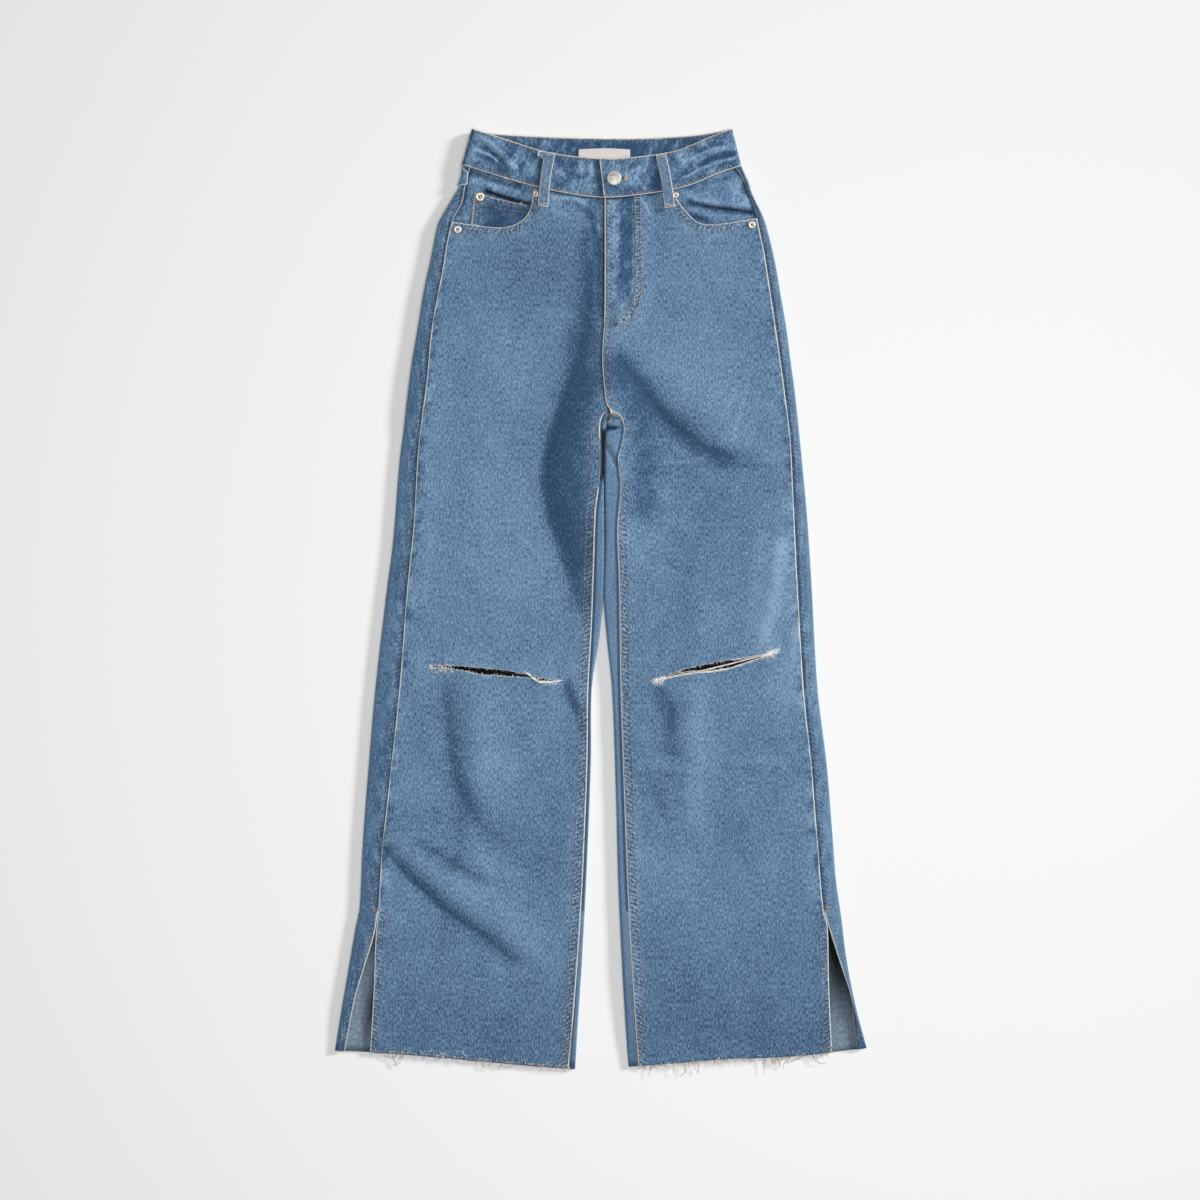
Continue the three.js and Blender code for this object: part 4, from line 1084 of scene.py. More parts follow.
    # Painted shade on the folds' left-hand slopes, which face away from the key light, and painted light on
    # their right-hand ones.
    tilt = (front_top(x + 1.2 * MM, y + 0.5 * MM) - front_top(x - 1.2 * MM, y - 0.5 * MM)) / (2.6 * MM)
    tilt = np.clip(tilt, -0.25, 0.5) * (1 - 0.7 * rising(y, 420, 460))
    fold_shade_and_wear = fold_shade_and_wear + 10 * wear_and_shade_at(x, y) - 17 * tilt
    (upper, lower), (low_x, high_x) = rip_lips(name), rip_ends(name)
    to_rip = np.minimum(np.abs(y - upper(x)), np.abs(y - lower(x)))
    to_rip = np.where((x > low_x * MM) & (x < high_x * MM), to_rip, FAR)
    return {
        "seam": seam, "run": run, "rope": rope,
        "fade": blotch + thigh + 0.10 * fold_shade_and_wear - 0.05 + 0.05 * wander(x, y, 55 * MM, 33) - hem_shade(y),
        "raw": np.minimum(np.abs(y - hem_y(x)) + 1.3 * MM, to_rip + 0.7 * MM),
        "crumple": crumpled,
    }


def front_place(name, leg, rows, lip):
    """Rows from rows[0] to rows[1] of a front panel. lip is the rip's lip that one end follows."""
    edge = front_edge(name, leg)
    lip_y = curve(lip)
    rip_row = lip[0][1] * MM if name == "right" else lip[-1][1] * MM
    inward = -leg.side * SEAM_GAP

    def place(u, v):
        row = mix(rows[0], rows[1], v)
        seam_x = leg.side_seam(row) + inward
        near_rip = smooth(1 - np.abs(row - rip_row) / RIP_REACH, 0, 1)
        to_top = smooth(row, TOP_BLEND_Y, FRONT_ROW_TOP[name]) ** 1.4
        y, x = row, mix(seam_x, leg.inseam(row), u)
        for _ in range(5):
            y = row_y(leg, row, x) + near_rip * (lip_y(x) - rip_row)
            y = y + to_top * (edge(x) - FRONT_ROW_TOP[name])
            inner_x = leg.inseam(y) - leg.side * SEAM_GAP + fly_inset(name, y)
            x = mix(seam_x, inner_x, u)
        z = front_surface(name, x, y)
        return {"co": (x, y, z), "cut": (x, y), **front_wear_and_shade(name, leg, x, y)}

    return place


FRONT_ROW_TOP = {"right": 440 * MM, "left": 445.2 * MM}
FRONT_COLUMNS, ROWS_ABOVE_RIP, ROWS_BELOW_RIP = 108, 196, 162

for name, leg in LEGS.items():
    upper, lower = RIPS[name]
    rip_row = upper[0][1] * MM if name == "right" else upper[-1][1] * MM
    piece = cloth_mesh(
        f"front_panel_{name}",
        [(FRONT_COLUMNS, ROWS_ABOVE_RIP, front_place(name, leg, (rip_row, FRONT_ROW_TOP[name]), upper)),
         (FRONT_COLUMNS, ROWS_BELOW_RIP, front_place(name, leg, (HEM_Y, rip_row), lower))],
        0, CLOTH, [denim, denim_inside], merge=True)
    declare(piece, f"front_{name}")

# ---- Waistband -----------------------------------------------------------------------------------
# One folded strip of denim, sewn over the tops of the panels. Its buttonhole end laps over its
# button end at the fly. The front dips, so the inside of the back shows above it.

band_front_top = curve([[-151, 548.7], [-112, 536.5], [-73.7, 524.2], [-50, 519], [-21, 515.3],
                        [14.6, 513], [45.6, 516], [86.6, 522.6], [104, 529], [125, 538.2], [153, 548.7]])
band_back_top = curve([[-151, 548.7], [-125, 543], [11.7, 537.5], [104, 541], [153, 548.7]])
FOLD_BOTTOM = {"right": -162.6 * MM, "left": 163.8 * MM}
FOLD_TOP = {"right": -151 * MM, "left": 153.3 * MM}
BAND_BACK_Z = SEAT_RISE
BAND_FRONT_Z = BAND_BACK_Z + BAND_WALL + 3.6 * MM  # over the label
OVERLAP_RISE = BAND_WALL + 0.3 * MM
OVERLAP_END_X = -0.5 * MM
UNDERLAP_END_X = 28 * MM
BAND_FRONT_STEPS, BAND_BACK_STEPS, BAND_BEND_STEPS = 150, 150, 8

BAND_CREASES = [  # runs of [x, y] on the front of the band, half-width and height
    ([[-150, 533], [-138, 526], [-122, 516], [-113, 504], [-110, 493]], 2.2, -2.0),
    ([[-146, 541], [-132, 531], [-114, 519], [-104, 503]], 3.6, 1.7),
    ([[-128, 541], [-119, 531], [-110, 522]], 2.4, 0.9),
    ([[112, 506], [128, 514], [138, 519], [157, 521]], 2.2, -1.8),
    ([[108, 508], [126, 519], [140, 524], [154, 525]], 3.4, 1.6),
    ([[118, 528], [136, 526], [152, 531]], 2.6, 0.9),
    ([[-96, 498], [-92, 512], [-87, 522]], 4, -0.8),
    ([[-44, 500], [-40, 510], [-30, 514]], 4, -0.8),
    ([[-34, 478], [-30, 494], [-24, 508]], 3, 0.8),
    ([[-14, 476], [-11, 490], [-13, 506]], 3, 0.8),
    ([[40, 482], [46, 496], [52, 510]], 3, 0.8),
    ([[58, 480], [60, 494], [56, 508]], 4, -0.7),
    ([[92, 488], [96, 500], [90, 516]], 4, 0.7),
]
# Tones of the band's front: pale worn ridges, partly painted highlight, with painted shade in the hollows.
BAND_WEAR_AND_SHADE = [  # runs of [x, y], half-width and tone: pale ridges with dark hollows beside them
    ([[-148, 524], [-130, 518], [-115, 506], [-109, 495]], 1.3, 1.5),
    ([[-142, 518], [-128, 512], [-117, 502], [-112, 493]], 3, -0.7),
    ([[-143, 531], [-133, 523], [-128, 517]], 1.2, 1.0),
    ([[-122, 528], [-108, 520], [-96, 508]], 3.5, -0.7),
    ([[-104, 516], [-98, 504], [-96, 494]], 1.4, 1.0),
    ([[-90, 514], [-82, 503]], 1.2, 0.9),
    ([[99, 496], [114, 505], [133, 513], [156, 519]], 1.5, -1.5),
    ([[98, 492], [116, 501], [134, 509], [156, 514]], 1.6, 1.3),
    ([[104, 512], [120, 521], [138, 526]], 1.5, 1.0),
    ([[112, 522], [130, 529], [150, 531]], 3, -0.7),
    ([[120, 534], [126, 526]], 1.3, 0.9),
    ([[46, 504], [42, 495], [36, 482]], 1.2, 1.4),
    ([[36, 498], [44, 488], [52, 478]], 1.2, 0.9),
    ([[54, 508], [50, 498]], 1.3, 0.8),
    ([[20, 508], [30, 504], [44, 506]], 4, -0.6),
    ([[-50, 512], [-40, 505], [-30, 506]], 3, -0.8),
    ([[-36, 498], [-28, 492], [-18, 496]], 3, -0.7),
    ([[-46, 498], [-40, 486], [-34, 480]], 1.4, 0.9),
    ([[-26, 510], [-22, 498], [-24, 484]], 1.3, 0.9),
    ([[-14, 504], [-12, 490], [-16, 478]], 1.5, 0.8),
]
# Pale worn pleats and creases inside the back, partly painted highlight, with painted shade in the hollows.
BAND_BACK_WEAR_AND_SHADE = [
    ([[-100, 541], [-92, 534]], 1.2, 1.0), ([[-80, 540], [-74, 530]], 1.3, 0.9),
    ([[-56, 538], [-48, 528]], 1.2, 0.9), ([[-34, 539], [-30, 530]], 2.5, -0.9),
    ([[-23, 544], [-13, 536], [-8, 528]], 1.0, 1.5), ([[-7, 544], [-1, 536], [2, 528]], 1.0, 1.3),
    ([[-14, 541], [-6, 532]], 2.5, -1.3), ([[34, 537], [40, 528]], 3, -0.8),
    ([[62, 538], [66, 528]], 1.3, 0.9), ([[88, 540], [98, 533]], 2.5, -0.8),
]


def band_relief(x, y):
    waves = 0.4 * wander(x, y, 15 * MM, 41) + 0.34 * wander(x, y * 0.6, 6.5 * MM, 42)
    return (run_sum(x, y, BAND_CREASES) + waves) * MM


def overlap_lift(x):
    return OVERLAP_RISE * (1 - smooth(x, UNDERLAP_END_X + 4 * MM, UNDERLAP_END_X + 30 * MM))


def band_front_surface(x, y):
    """Upper face of the band's front: the overlap where the buttonhole end lies on the button end."""
    lapped = np.where(x >= OVERLAP_END_X, overlap_lift(x), 0)
    low, high = waist_y(x), band_front_top(x)
    middle = smooth(y, low, low + 9 * MM) * (1 - smooth(y, high - 9 * MM, high))
    relief = band_relief(x, y) * (0.35 + 0.65 * middle)
    return BAND_FRONT_Z + BAND_WALL + lapped + relief + 0.3 * MM * middle


PLEATS = [[[-21, 544], [-13, 536], [-8, 528]], [[-7, 544], [-1, 536], [2, 528]], [[-17, 530], [-13, 536]]]


def band_inside(x, y):
    """Inner face of the waistband's back, with a few small pleats by its middle."""
    share = (y - band_back_bottom(x)) / (band_back_top(x) - band_back_bottom(x))
    height = BAND_BACK_Z + BAND_WALL + 0.5 * MM * (1 + wander(x, y, 26 * MM, 43)) * np.sin(pi * share)
    height = height + 0.3 * MM * wander(x, y * 0.4, 7 * MM, 46) * np.sin(pi * share)
    pleats = run_sum(x, y, [(run, 1.5, 1.3) for run in PLEATS])
    return height + pleats * MM * np.sin(pi * share)


LOOP_WIDTH = 12 * MM
LOOPS = {  # top and bottom end of each loop
    "front_right": ([-59.4, 520.5], [-67.6, 457.5]),
    "front_left": ([69.6, 518.5], [80.1, 456.3]),
    "side_right": ([-140, 545], [-163.3, 482.5]),
    "side_left": ([143, 545], [166.5, 480]),
    "centre_back": ([2, 537], [4.8, 478]),
}
FRONT_LOOPS = ("front_right", "front_left")


def loop_line(name, t):
    """Middle of a loop at t from its top to its bottom end."""
    top, bottom = LOOPS[name]
    bow = 1.2 * MM * np.sin(pi * t) * (-1 if "right" in name else 1)
    return mix(top[0], bottom[0], t) * MM + bow, mix(top[1], bottom[1], t) * MM


BAND_STEPS = 2 * BAND_FRONT_STEPS + 2 * BAND_BEND_STEPS + BAND_BACK_STEPS


def band_place(u, v):
    """The waistband from its buttonhole end, round the left hip and the back, to its button end."""
    step = np.round(u * BAND_STEPS)
    low, high = BAND_BACK_Z, BAND_FRONT_Z + BAND_WALL
    radius = (high - low) / 2
    left_fold = mix(FOLD_BOTTOM["left"], FOLD_TOP["left"], v) - radius
    right_fold = mix(FOLD_BOTTOM["right"], FOLD_TOP["right"], v) + radius
    a = BAND_FRONT_STEPS
    b = a + BAND_BEND_STEPS
    c = b + BAND_BACK_STEPS
    d = c + BAND_BEND_STEPS
    lap_end = OVERLAP_END_X + mix(4.0, -1.8, v) * MM
    left_turn = np.clip((step - a) / BAND_BEND_STEPS, 0, 1) * pi
    right_turn = np.clip((step - c) / BAND_BEND_STEPS, 0, 1) * pi
    x = mix(lap_end, left_fold, np.clip(step / a, 0, 1)) + radius * np.sin(left_turn)
    z = low + radius * (1 + np.cos(left_turn))
    x = np.where(step > b, mix(left_fold, right_fold, np.clip((step - b) / BAND_BACK_STEPS, 0, 1)), x)
    x = np.where(step > c, right_fold - radius * np.sin(right_turn), x)
    z = np.where(step > c, low + radius * (1 - np.cos(right_turn)), z)
    on_underlap = np.clip((step - d) / BAND_FRONT_STEPS, 0, 1)
    x = np.where(step > d, mix(right_fold, UNDERLAP_END_X, on_underlap), x)
    front = (step <= a + BAND_BEND_STEPS // 2) | (step >= d - BAND_BEND_STEPS // 2)
    on_back = mix(band_back_bottom(x), band_back_top(x), v)
    y = np.where(front, mix(waist_y(x), band_front_top(x), v), on_back)
    on_front = np.where(step < BAND_FRONT_STEPS, 1.0, 0.0) + np.where(step > d, 1.0, 0.0)
    under = (step > d) & (x > OVERLAP_END_X - 8 * MM)
    surface = band_front_surface(
        np.where(step > d, np.minimum(x, OVERLAP_END_X - 1e-6), np.maximum(x, OVERLAP_END_X)), y)
    surface = np.where(step > d, BAND_FRONT_Z + BAND_WALL + band_relief(x, y) * (1 - smooth(
        x, OVERLAP_END_X - 20 * MM, OVERLAP_END_X)), surface)
    fold_near = np.minimum(left_fold - x, x - right_fold)
    z = np.where(on_front > 0, mix(high, surface, rising(fold_near, 0, 14)), z)
    back = (step > b) & (step < c)
    z = np.where(back, band_inside(x, y) - 2.2 * MM, z)
    edge = np.minimum(v, 1 - v) * 44 * MM
    end = np.minimum(np.where(step <= a, x - lap_end, FAR), FAR)
    # Painted shadow left of the buttonhole end's edge.
    beside = 1.1 * bell(x - lap_end + 2.5 * MM, 3.2) * (step > d)
    beside = beside + 1.4 * bell(x - lap_end + 0.8 * MM, 1.2) * (step > d)
    for name in FRONT_LOOPS:  # painted shadow beside them, on their left
        along = (LOOPS[name][0][1] * MM - y) / (63 * MM)
        loop_x = loop_line(name, np.clip(along, 0, 1))[0]
        beside = beside + 1.3 * bell(x - loop_x + 8 * MM, 2.6)
    # Painted highlight and shade on the creases, partly worn tone; the inside of the back darker.
    wash = np.where(back, -0.75 + wear_and_shade_at(x, y, BAND_BACK_WEAR_AND_SHADE), wear_and_shade_at(x, y, BAND_WEAR_AND_SHADE) - beside)
    # Raised parts paler and hollows darker, partly worn tone and partly painted light and shade; a little
    # darker towards +x; painted shade beside and under the overlap.
    return {"co": (x, y, z), "cut": (x, y), "seam": np.minimum(edge + 0.35 * MM, end),
            "run": x + 0.3 * y, "rope": 0.55 * falling(edge, 3, 6), "crumple": 1.1,
            "fade": 0.25 * wander(x, y * 0.5, 8 * MM, 44) + 0.25 * wander(x + 0.4 * y, y * 0.5, 4.5 * MM, 45)
            + 0.65 * np.clip(band_relief(x, y) / (1.2 * MM), -1, 1) - 0.36 - 0.1 * rising(x, 0, 90)
            - 0.1 * under
            + wash}


piece = cloth_mesh(
    "waistband_cloth", [(BAND_STEPS, 42, band_place)], BAND_BACK_Z + 3 * MM, 2.2 * MM, [denim])
declare(piece, "waistband")

# ---- Woven label ---------------------------------------------------------------------------------
# A bare off-white woven label sewn inside the back of the waistband, half hidden by the front.

label_cloth, shader = new_material("woven_label", {"Roughness": 0.75, "Sheen Weight": 0.2})
graph = Graph(label_cloth.node_tree)
picks = graph.noise(
    graph.new("Attribute", {}, attribute_name="cut").outputs["Vector"], (240, 1900, 1), 1, 0.5)
graph.feed(shader.inputs["Base Color"], graph.blend(picks, (0.55, 0.51, 0.49), (0.74, 0.70, 0.68)))
graph.feed(shader.inputs["Normal"], graph.bump(picks, 0.1 * MM))

LABEL_SIZE = (60.2 * MM, 28 * MM)


def label_place(u, v):
    x = LABEL_CORNER[0] + u * LABEL_SIZE[0]
    y = LABEL_CORNER[1] + v * LABEL_SIZE[1] - 1.4 * MM * (2 * u - 1) ** 2
    waves = 0.25 * MM * np.sin(pi * u) + 0.08 * MM * wander(x, y, 9 * MM, 51)
    z = BAND_BACK_Z + BAND_WALL + 1.8 * MM + waves
    return {"co": (x, y, z), "cut": (x, y)}


piece = cloth_mesh("waist_label_cloth", [(30, 14, label_place)], 0, 0.5 * MM, [label_cloth])
declare(piece, "waist_label")

# ---- Belt loops ----------------------------------------------------------------------------------
# Folded strips of denim bartacked over the waistband. The two front ones lie on top; the side and
# centre back ones lie under it, and the side ones' tails show past the hips.

def loop_surface(name, across, t):
    """Upper face of a loop, across from -1 to 1 and t from its top to its bottom end."""
    if name not in FRONT_LOOPS:
        return 1.5 * MM + 0 * t
    arch = 1.7 * MM * np.sin(pi * t) ** 2
    ends = 0.5 * MM * (np.exp(-(t / 0.06) ** 2) + np.exp(-((1 - t) / 0.06) ** 2))
    crown = 0.35 * MM * (1 - across ** 2) - 0.35 * MM * np.exp(-((np.abs(across) - 0.62) / 0.12) ** 2)
    return BAND_FRONT_Z + BAND_WALL + 1.75 * MM + arch + ends + crown


def round_fold(name, across, t):
    """A side loop's outer face: under the waistband at its top, round the folded edge at its tail."""
    right = "right" in name
    shown = [-16, -16, -8, 4, 7.5] if right else [-16, -16, -13, -7, -1]
    s = np.interp(t, [0, 0.5, 0.64, 0.76, 1], shown) * MM + across * LOOP_WIDTH / 2
    y = mix(545, 482.5 if right else 480, t) * MM + 0.8 * MM * across
    leg = LEGS["right" if right else "left"]
    fold = np.abs(leg.outline(np.minimum(y, 505 * MM)))
    fold = np.where(y > 505 * MM, np.interp(y, [505 * MM, 549 * MM], [163 * MM, 152 * MM]), fold)
    fold = fold + 1.4 * MM + (2.0 if right else 0.4) * MM * smooth(t, 0.75, 1)
    radius = 4.4 * MM
    over_leg, over_band = loft_y(y) + CLOTH + 1.9 * MM, BAND_FRONT_Z + BAND_WALL + 1.5 * MM
    high = mix(over_leg, over_band, rising(y, 500, 508))
    angle = np.clip(s / radius, -pi / 2, pi / 2)
    reach = fold - radius * (1 - np.cos(angle)) - np.maximum(np.abs(s) - radius * pi / 2, 0)
    low = 0.3 * MM
    return leg.side * reach, y, (low + high) / 2 + (high - low) / 2 * np.sin(angle)


for name, (top, bottom) in LOOPS.items():
    tilt = atan2(bottom[0] - top[0], top[1] - bottom[1])

    def loop_place(u, v, name=name, tilt=tilt):
        across, t = 2 * u - 1, v
        x, y = loop_line(name, t)
        width = LOOP_WIDTH / 2 * (1 + 0.03 * np.sin(9 * t))
        if name == "front_right":  # its folded top end sticks out beside it
            width = width + 8 * MM * (across < -0.3) * (1 - smooth(t, 0.09, 0.13))
        x, y = x + across * width * cos(tilt), y + across * width * sin(tilt)
        z = loop_surface(name, across, t)
        if "side" in name:
            x, y, z = round_fold(name, across, t)
        edge = np.minimum((1 - np.abs(across)) * LOOP_WIDTH / 2, np.minimum(t, 1 - t) * 60 * MM)
        return {"co": (x, y, z), "cut": (x + 0.4, y), "seam": edge + 0.5 * MM,
                "run": y + across * 3 * MM, "crumple": 0.4, "fade": 0.1 + 0.2 * wander(x, y, 5 * MM, 55)}

    middle_z = 5 * MM if "side" in name else 0
    piece = cloth_mesh(f"loop_{name}", [(14, 44, loop_place)], middle_z, 1.4 * MM, [denim])
    declare(piece, f"belt_loop_{name}")

# ---- Button --------------------------------------------------------------------------------------
# A shank button of brushed metal with a raised rim, pushed through the buttonhole.

BUTTON_CENTRE = (15.2 * MM, 490 * MM)
button_base = BAND_FRONT_Z + OVERLAP_RISE + BAND_WALL + 0.3 * MM


def metal_material(name, colour, dark, roughness):
    """Brushed metal, blotched with tarnish."""
    material, shader = new_material(name, {"Metallic": 1})
    graph = Graph(material.node_tree)
    place = graph.new("TexCoord", {}).outputs["Object"]
    blot = graph.noise(place, (420, 420, 420), 3, 0.6)
    scratch = graph.noise(place, (300, 2600, 300), 2, 0.6)
    graph.feed(shader.inputs["Base Color"], graph.blend(graph.ramp(blot, 0.35, 0.62), dark, colour))
    graph.feed(shader.inputs["Roughness"], graph.add(graph.times(scratch, 0.25), roughness))
    graph.feed(shader.inputs["Normal"], graph.bump(blot, 0.08 * MM, 0.6))
    return material


def turned(name, profile, place, steps, materials, material_of=None):
    """A piece turned about z from a profile of (radius, height) in millimetres, at place."""
    bm = bmesh.new()
    verts = [bm.verts.new((r * MM, 0, h * MM)) for r, h in profile]
    edges = [bm.edges.new(pair) for pair in zip(verts[:-1], verts[1:])]
    bmesh.ops.spin(bm, geom=verts + edges, axis=(0, 0, 1), cent=(0, 0, 0), angle=2 * pi, steps=steps,
                   use_merge=True)
    bmesh.ops.remove_doubles(bm, verts=bm.verts, dist=1e-6)
    bmesh.ops.recalc_face_normals(bm, faces=bm.faces)
    for face in bm.faces:
        face.smooth = True
        if material_of:
            middle = face.calc_center_median()
            face.material_index = material_of(hypot(middle.x, middle.y), middle.z)
    bmesh.ops.translate(bm, verts=bm.verts, vec=place)
    mesh = bpy.data.meshes.new(name)
    bm.to_mesh(mesh)
    bm.free()
    for material in materials:
        mesh.materials.append(material)
    piece = bpy.data.objects.new(name, mesh)
    bpy.context.collection.objects.link(piece)
    return piece


button_metal = metal_material("brushed_button", (0.68, 0.66, 0.62), (0.44, 0.425, 0.39), 0.48)
button = turned(
    "button_shank", [
        (0, -2.7), (2.6, -2.7), (2.6, 0), (7.6, 0), (8.2, 0.25), (8.5, 0.7), (8.5, 1.2), (8.3, 1.65),
        (7.9, 1.95), (7.4, 2.02), (6.95, 1.95), (6.6, 1.98), (5.4, 2.3), (3.6, 2.6), (1.8, 2.76), (0, 2.8)],
    (BUTTON_CENTRE[0] + shift_x, BUTTON_CENTRE[1] + shift_y, button_base), 48, [button_metal])
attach(button, "root")
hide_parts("button")

# ---- Rivets --------------------------------------------------------------------------------------
# Pressed caps of pale metal with a copper nub, set at the corners of the pocket mouths and on the
# coin pocket.

rivet_silver = metal_material("rivet_cap", (0.92, 0.87, 0.80), (0.66, 0.60, 0.53), 0.42)
rivet_copper = metal_material("rivet_nub", (0.55, 0.27, 0.12), (0.22, 0.10, 0.05), 0.35)
RIVETS = {  # x, y and radius
    "right_outer": (-167.5, 431, 4.4),
    "right_inner": (-76.3, 472.5, 3.4),
    "left_inner": (87.3, 471, 3.4),
    "left_outer": (176, 436.5, 4.2),
    "coin_pocket": (-141.6, 469.5, 5.2),
}


def height_on(surface, x, y):
    """Height of one point of a surface, which is given as surface(x, y)."""
    return float(surface(np.array(x), np.array(y)))


def on_front(name):
    return lambda x, y: front_surface(name, x, y)


for name, (x, y, r) in RIVETS.items():
    if name == "coin_pocket":
        base = coin_floor + 0.5 * MM
    else:
        base = height_on(on_front(name.split("_")[0]), x * MM, y * MM) + 0.4 * MM
        if "inner" in name:
            base += 0.9 * MM
    piece = turned(
        f"rivet_cap_{name}", [
            (0, -0.6), (r * 0.9, -0.6), (r, -0.2), (r, 0.35), (r * 0.93, 0.8), (r * 0.8, 1.0),
            (r * 0.62, 0.95), (r * 0.5, 0.6), (r * 0.43, 0.3), (r * 0.34, 0.32), (r * 0.3, 0.75),
            (r * 0.2, 1.05), (0, 1.15)],
        (x * MM + shift_x, y * MM + shift_y, base), 32, [rivet_silver, rivet_copper],
        lambda away, z, r=r: int(away < r * 0.36 * MM and z > 0))
    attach(piece, "root")
    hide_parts(f"rivet_{name}")

# ---- Topstitching --------------------------------------------------------------------------------
# Tan cotton thread in short slanting stitches: double rows at the inseams, pocket mouths and coin
# pocket, the fly's curved row, and rows along the waistband, the loops and the slits.


def thread_material(name, dark, light):
    material, shader = new_material(name, {"Roughness": 0.7, "Sheen Weight": 0.3})
    graph = Graph(material.node_tree)
    uneven = graph.noise(graph.new("TexCoord", {}).outputs["Object"], (260, 260, 260), 2, 0.6)
    graph.feed(shader.inputs["Base Color"], graph.blend(uneven, dark, light))
    return material


tan_thread = thread_material("tan_thread", (0.12, 0.085, 0.06), (0.44, 0.34, 0.25))
worn_thread = thread_material("worn_thread", (0.30, 0.24, 0.19), (0.62, 0.54, 0.45))
# Near-black threads that stand for the shade in the buttonhole's slot.
painted_slot_shade = thread_material("painted_slot_shade", (0.02, 0.018, 0.02), (0.06, 0.055, 0.055))
orange_thread = thread_material("orange_thread", (0.26, 0.13, 0.05), (0.52, 0.31, 0.14))
ivory_thread = thread_material("ivory_thread", (0.70, 0.68, 0.64), (0.97, 0.96, 0.93))
fray_thread = thread_material("fray_thread", (0.42, 0.34, 0.27), (0.66, 0.58, 0.50))


ROLL_TO_X = mathutils.Matrix.Rotation(pi / 2, 3, "Y")


def stitch_shape():
    """One stitch along x, a metre long and wide, as corners and faces."""
    bm = bmesh.new()
    bmesh.ops.create_uvsphere(bm, u_segments=6, v_segments=4, radius=0.5)
    bmesh.ops.rotate(bm, verts=bm.verts, cent=(0, 0, 0), matrix=ROLL_TO_X)
    corners = np.array([v.co[:] for v in bm.verts])
    faces = [[v.index for v in f.verts] for f in bm.faces]
    bm.free()
    return corners, faces


STITCH_CORNERS, STITCH_FACES = stitch_shape()


def thread_piece(name, points, faces, material):
    mesh = bpy.data.meshes.new(name)
    mesh.from_pydata((np.concatenate(points) + (shift_x, shift_y, 0)).tolist(), [], faces)
    mesh.shade_smooth()
    mesh.materials.append(material)
    piece = bpy.data.objects.new(name, mesh)
    bpy.context.collection.objects.link(piece)
    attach(piece, "root")


def joined_stitches(name, stitches, material):
    """Stitches, each from one end to the other (x, y, z) with a width, as one mesh."""
    points, faces = [], []
    for k, (start, end, width) in enumerate(stitches):
        start, end = np.array(start), np.array(end)
        along = end - start
        length = np.linalg.norm(along)
        along = along / length
        across = np.array([-along[1], along[0], 0])
        across = across / np.linalg.norm(across)
        up = np.cross(along, across)
        turn = np.stack([along * length, across * width, up * width])
        points.append(STITCH_CORNERS @ turn + (start + end) / 2)
        faces.extend([[i + k * len(STITCH_CORNERS) for i in face] for face in STITCH_FACES])
    thread_piece(name, points, faces, material)


STITCH_PITCH = 3.3 * MM
STITCH_LENGTH = 2.7 * MM
STITCH_WIDTH = 0.62 * MM
draw = np.random.default_rng(71)
tan_rows, orange_rows, worn_rows = [], [], []


def even_run(points, step):
    """Points a step apart along a run of [x, y] points in metres."""
    points = np.asarray(points, float)
    far = np.concatenate([[0], np.cumsum(np.hypot(*np.diff(points, axis=0).T))])
    at = np.arange(0, far[-1], step)
    return np.stack([np.interp(at, far, points[:, k]) for k in (0, 1)], axis=1)


def sew(rows, run, surface, pitch=STITCH_PITCH, length=STITCH_LENGTH, width=STITCH_WIDTH, sunk=0.1 * MM):
    """Adds a row of stitches along a run, lying on surface(x, y)."""
    ahead = even_run(run, pitch / 2)
    for k in range(min(len(even_run(run, pitch)), len(ahead) // 2)):
        a, b = ahead[2 * k], ahead[min(2 * k + 1, len(ahead) - 1)]
        step = (b - a) / max(np.hypot(*(b - a)), 1e-9)
        middle = a + step * pitch / 4
        jitter = draw.normal(0, 0.12 * MM, 2)
        slant = np.array([-step[1], step[0]]) * 0.12 * length
        ends = [middle - step * length / 2 - slant + jitter, middle + step * length / 2 + slant + jitter]
        z = [height_on(surface, *p) - sunk for p in ends]
        rows.append(((*ends[0], z[0] + width / 2), (*ends[1], z[1] + width / 2), width))


def offset_run(run, distance):
    """The run moved sideways, to its left for a positive distance."""
    run = np.asarray(run, float)
    step = np.gradient(run, axis=0)
    step = step / np.hypot(*step.T)[:, None]
    return run + distance * np.stack([-step[:, 1], step[:, 0]], axis=1)


def along_y(x_of, low, high, offset):
    """A run up the garment beside the curve x_of."""
    y = np.arange(low, high, 6) * MM
    return np.stack([x_of(y) + offset * MM, y], axis=1)


def run_at(xs, ys):
    return np.stack([xs, ys], axis=1)


for name, leg in LEGS.items():
    surface = on_front(name)
    for offset in (1.6, 10.6):
        sew(tan_rows, along_y(leg.inseam, -546, 206, leg.side * offset), surface)
    outer, inner = POCKET_MOUTHS[name][::-leg.side][0][0], POCKET_MOUTHS[name][::-leg.side][-1][0]
    xs = np.linspace(outer * MM * 0.965, inner * MM, 60)
    mouth = run_at(xs, curve(POCKET_MOUTHS[name])(xs))
    for offset in (2.0, 8.8):
        sew(tan_rows, offset_run(mouth, leg.side * offset * MM), surface)
    sew(tan_rows, along_y(leg.side_seam, -526, -364, -leg.side * 9.5), surface)

fly = LEGS["left"].inseam
sew(tan_rows, along_y(fly, 334, 468, 3.4), on_front("left"))
for offset in (2.4, 8.2):
    sew(tan_rows, along_y(fly, 222, 332, offset), on_front("left"))
FLY_CURVES = [
    [[39, 474], [40.5, 430], [41, 365], [38.5, 350], [33, 338], [25, 329], [14.5, 324]],
    [[45.3, 475], [46.3, 430], [46.8, 356], [43, 340], [36, 327], [26, 318], [13, 314.5]],
]
fly_rows = []
for curve_points in FLY_CURVES:
    sew(fly_rows, np.array(curve_points) * MM, on_front("left"), width=0.8 * MM, sunk=0)

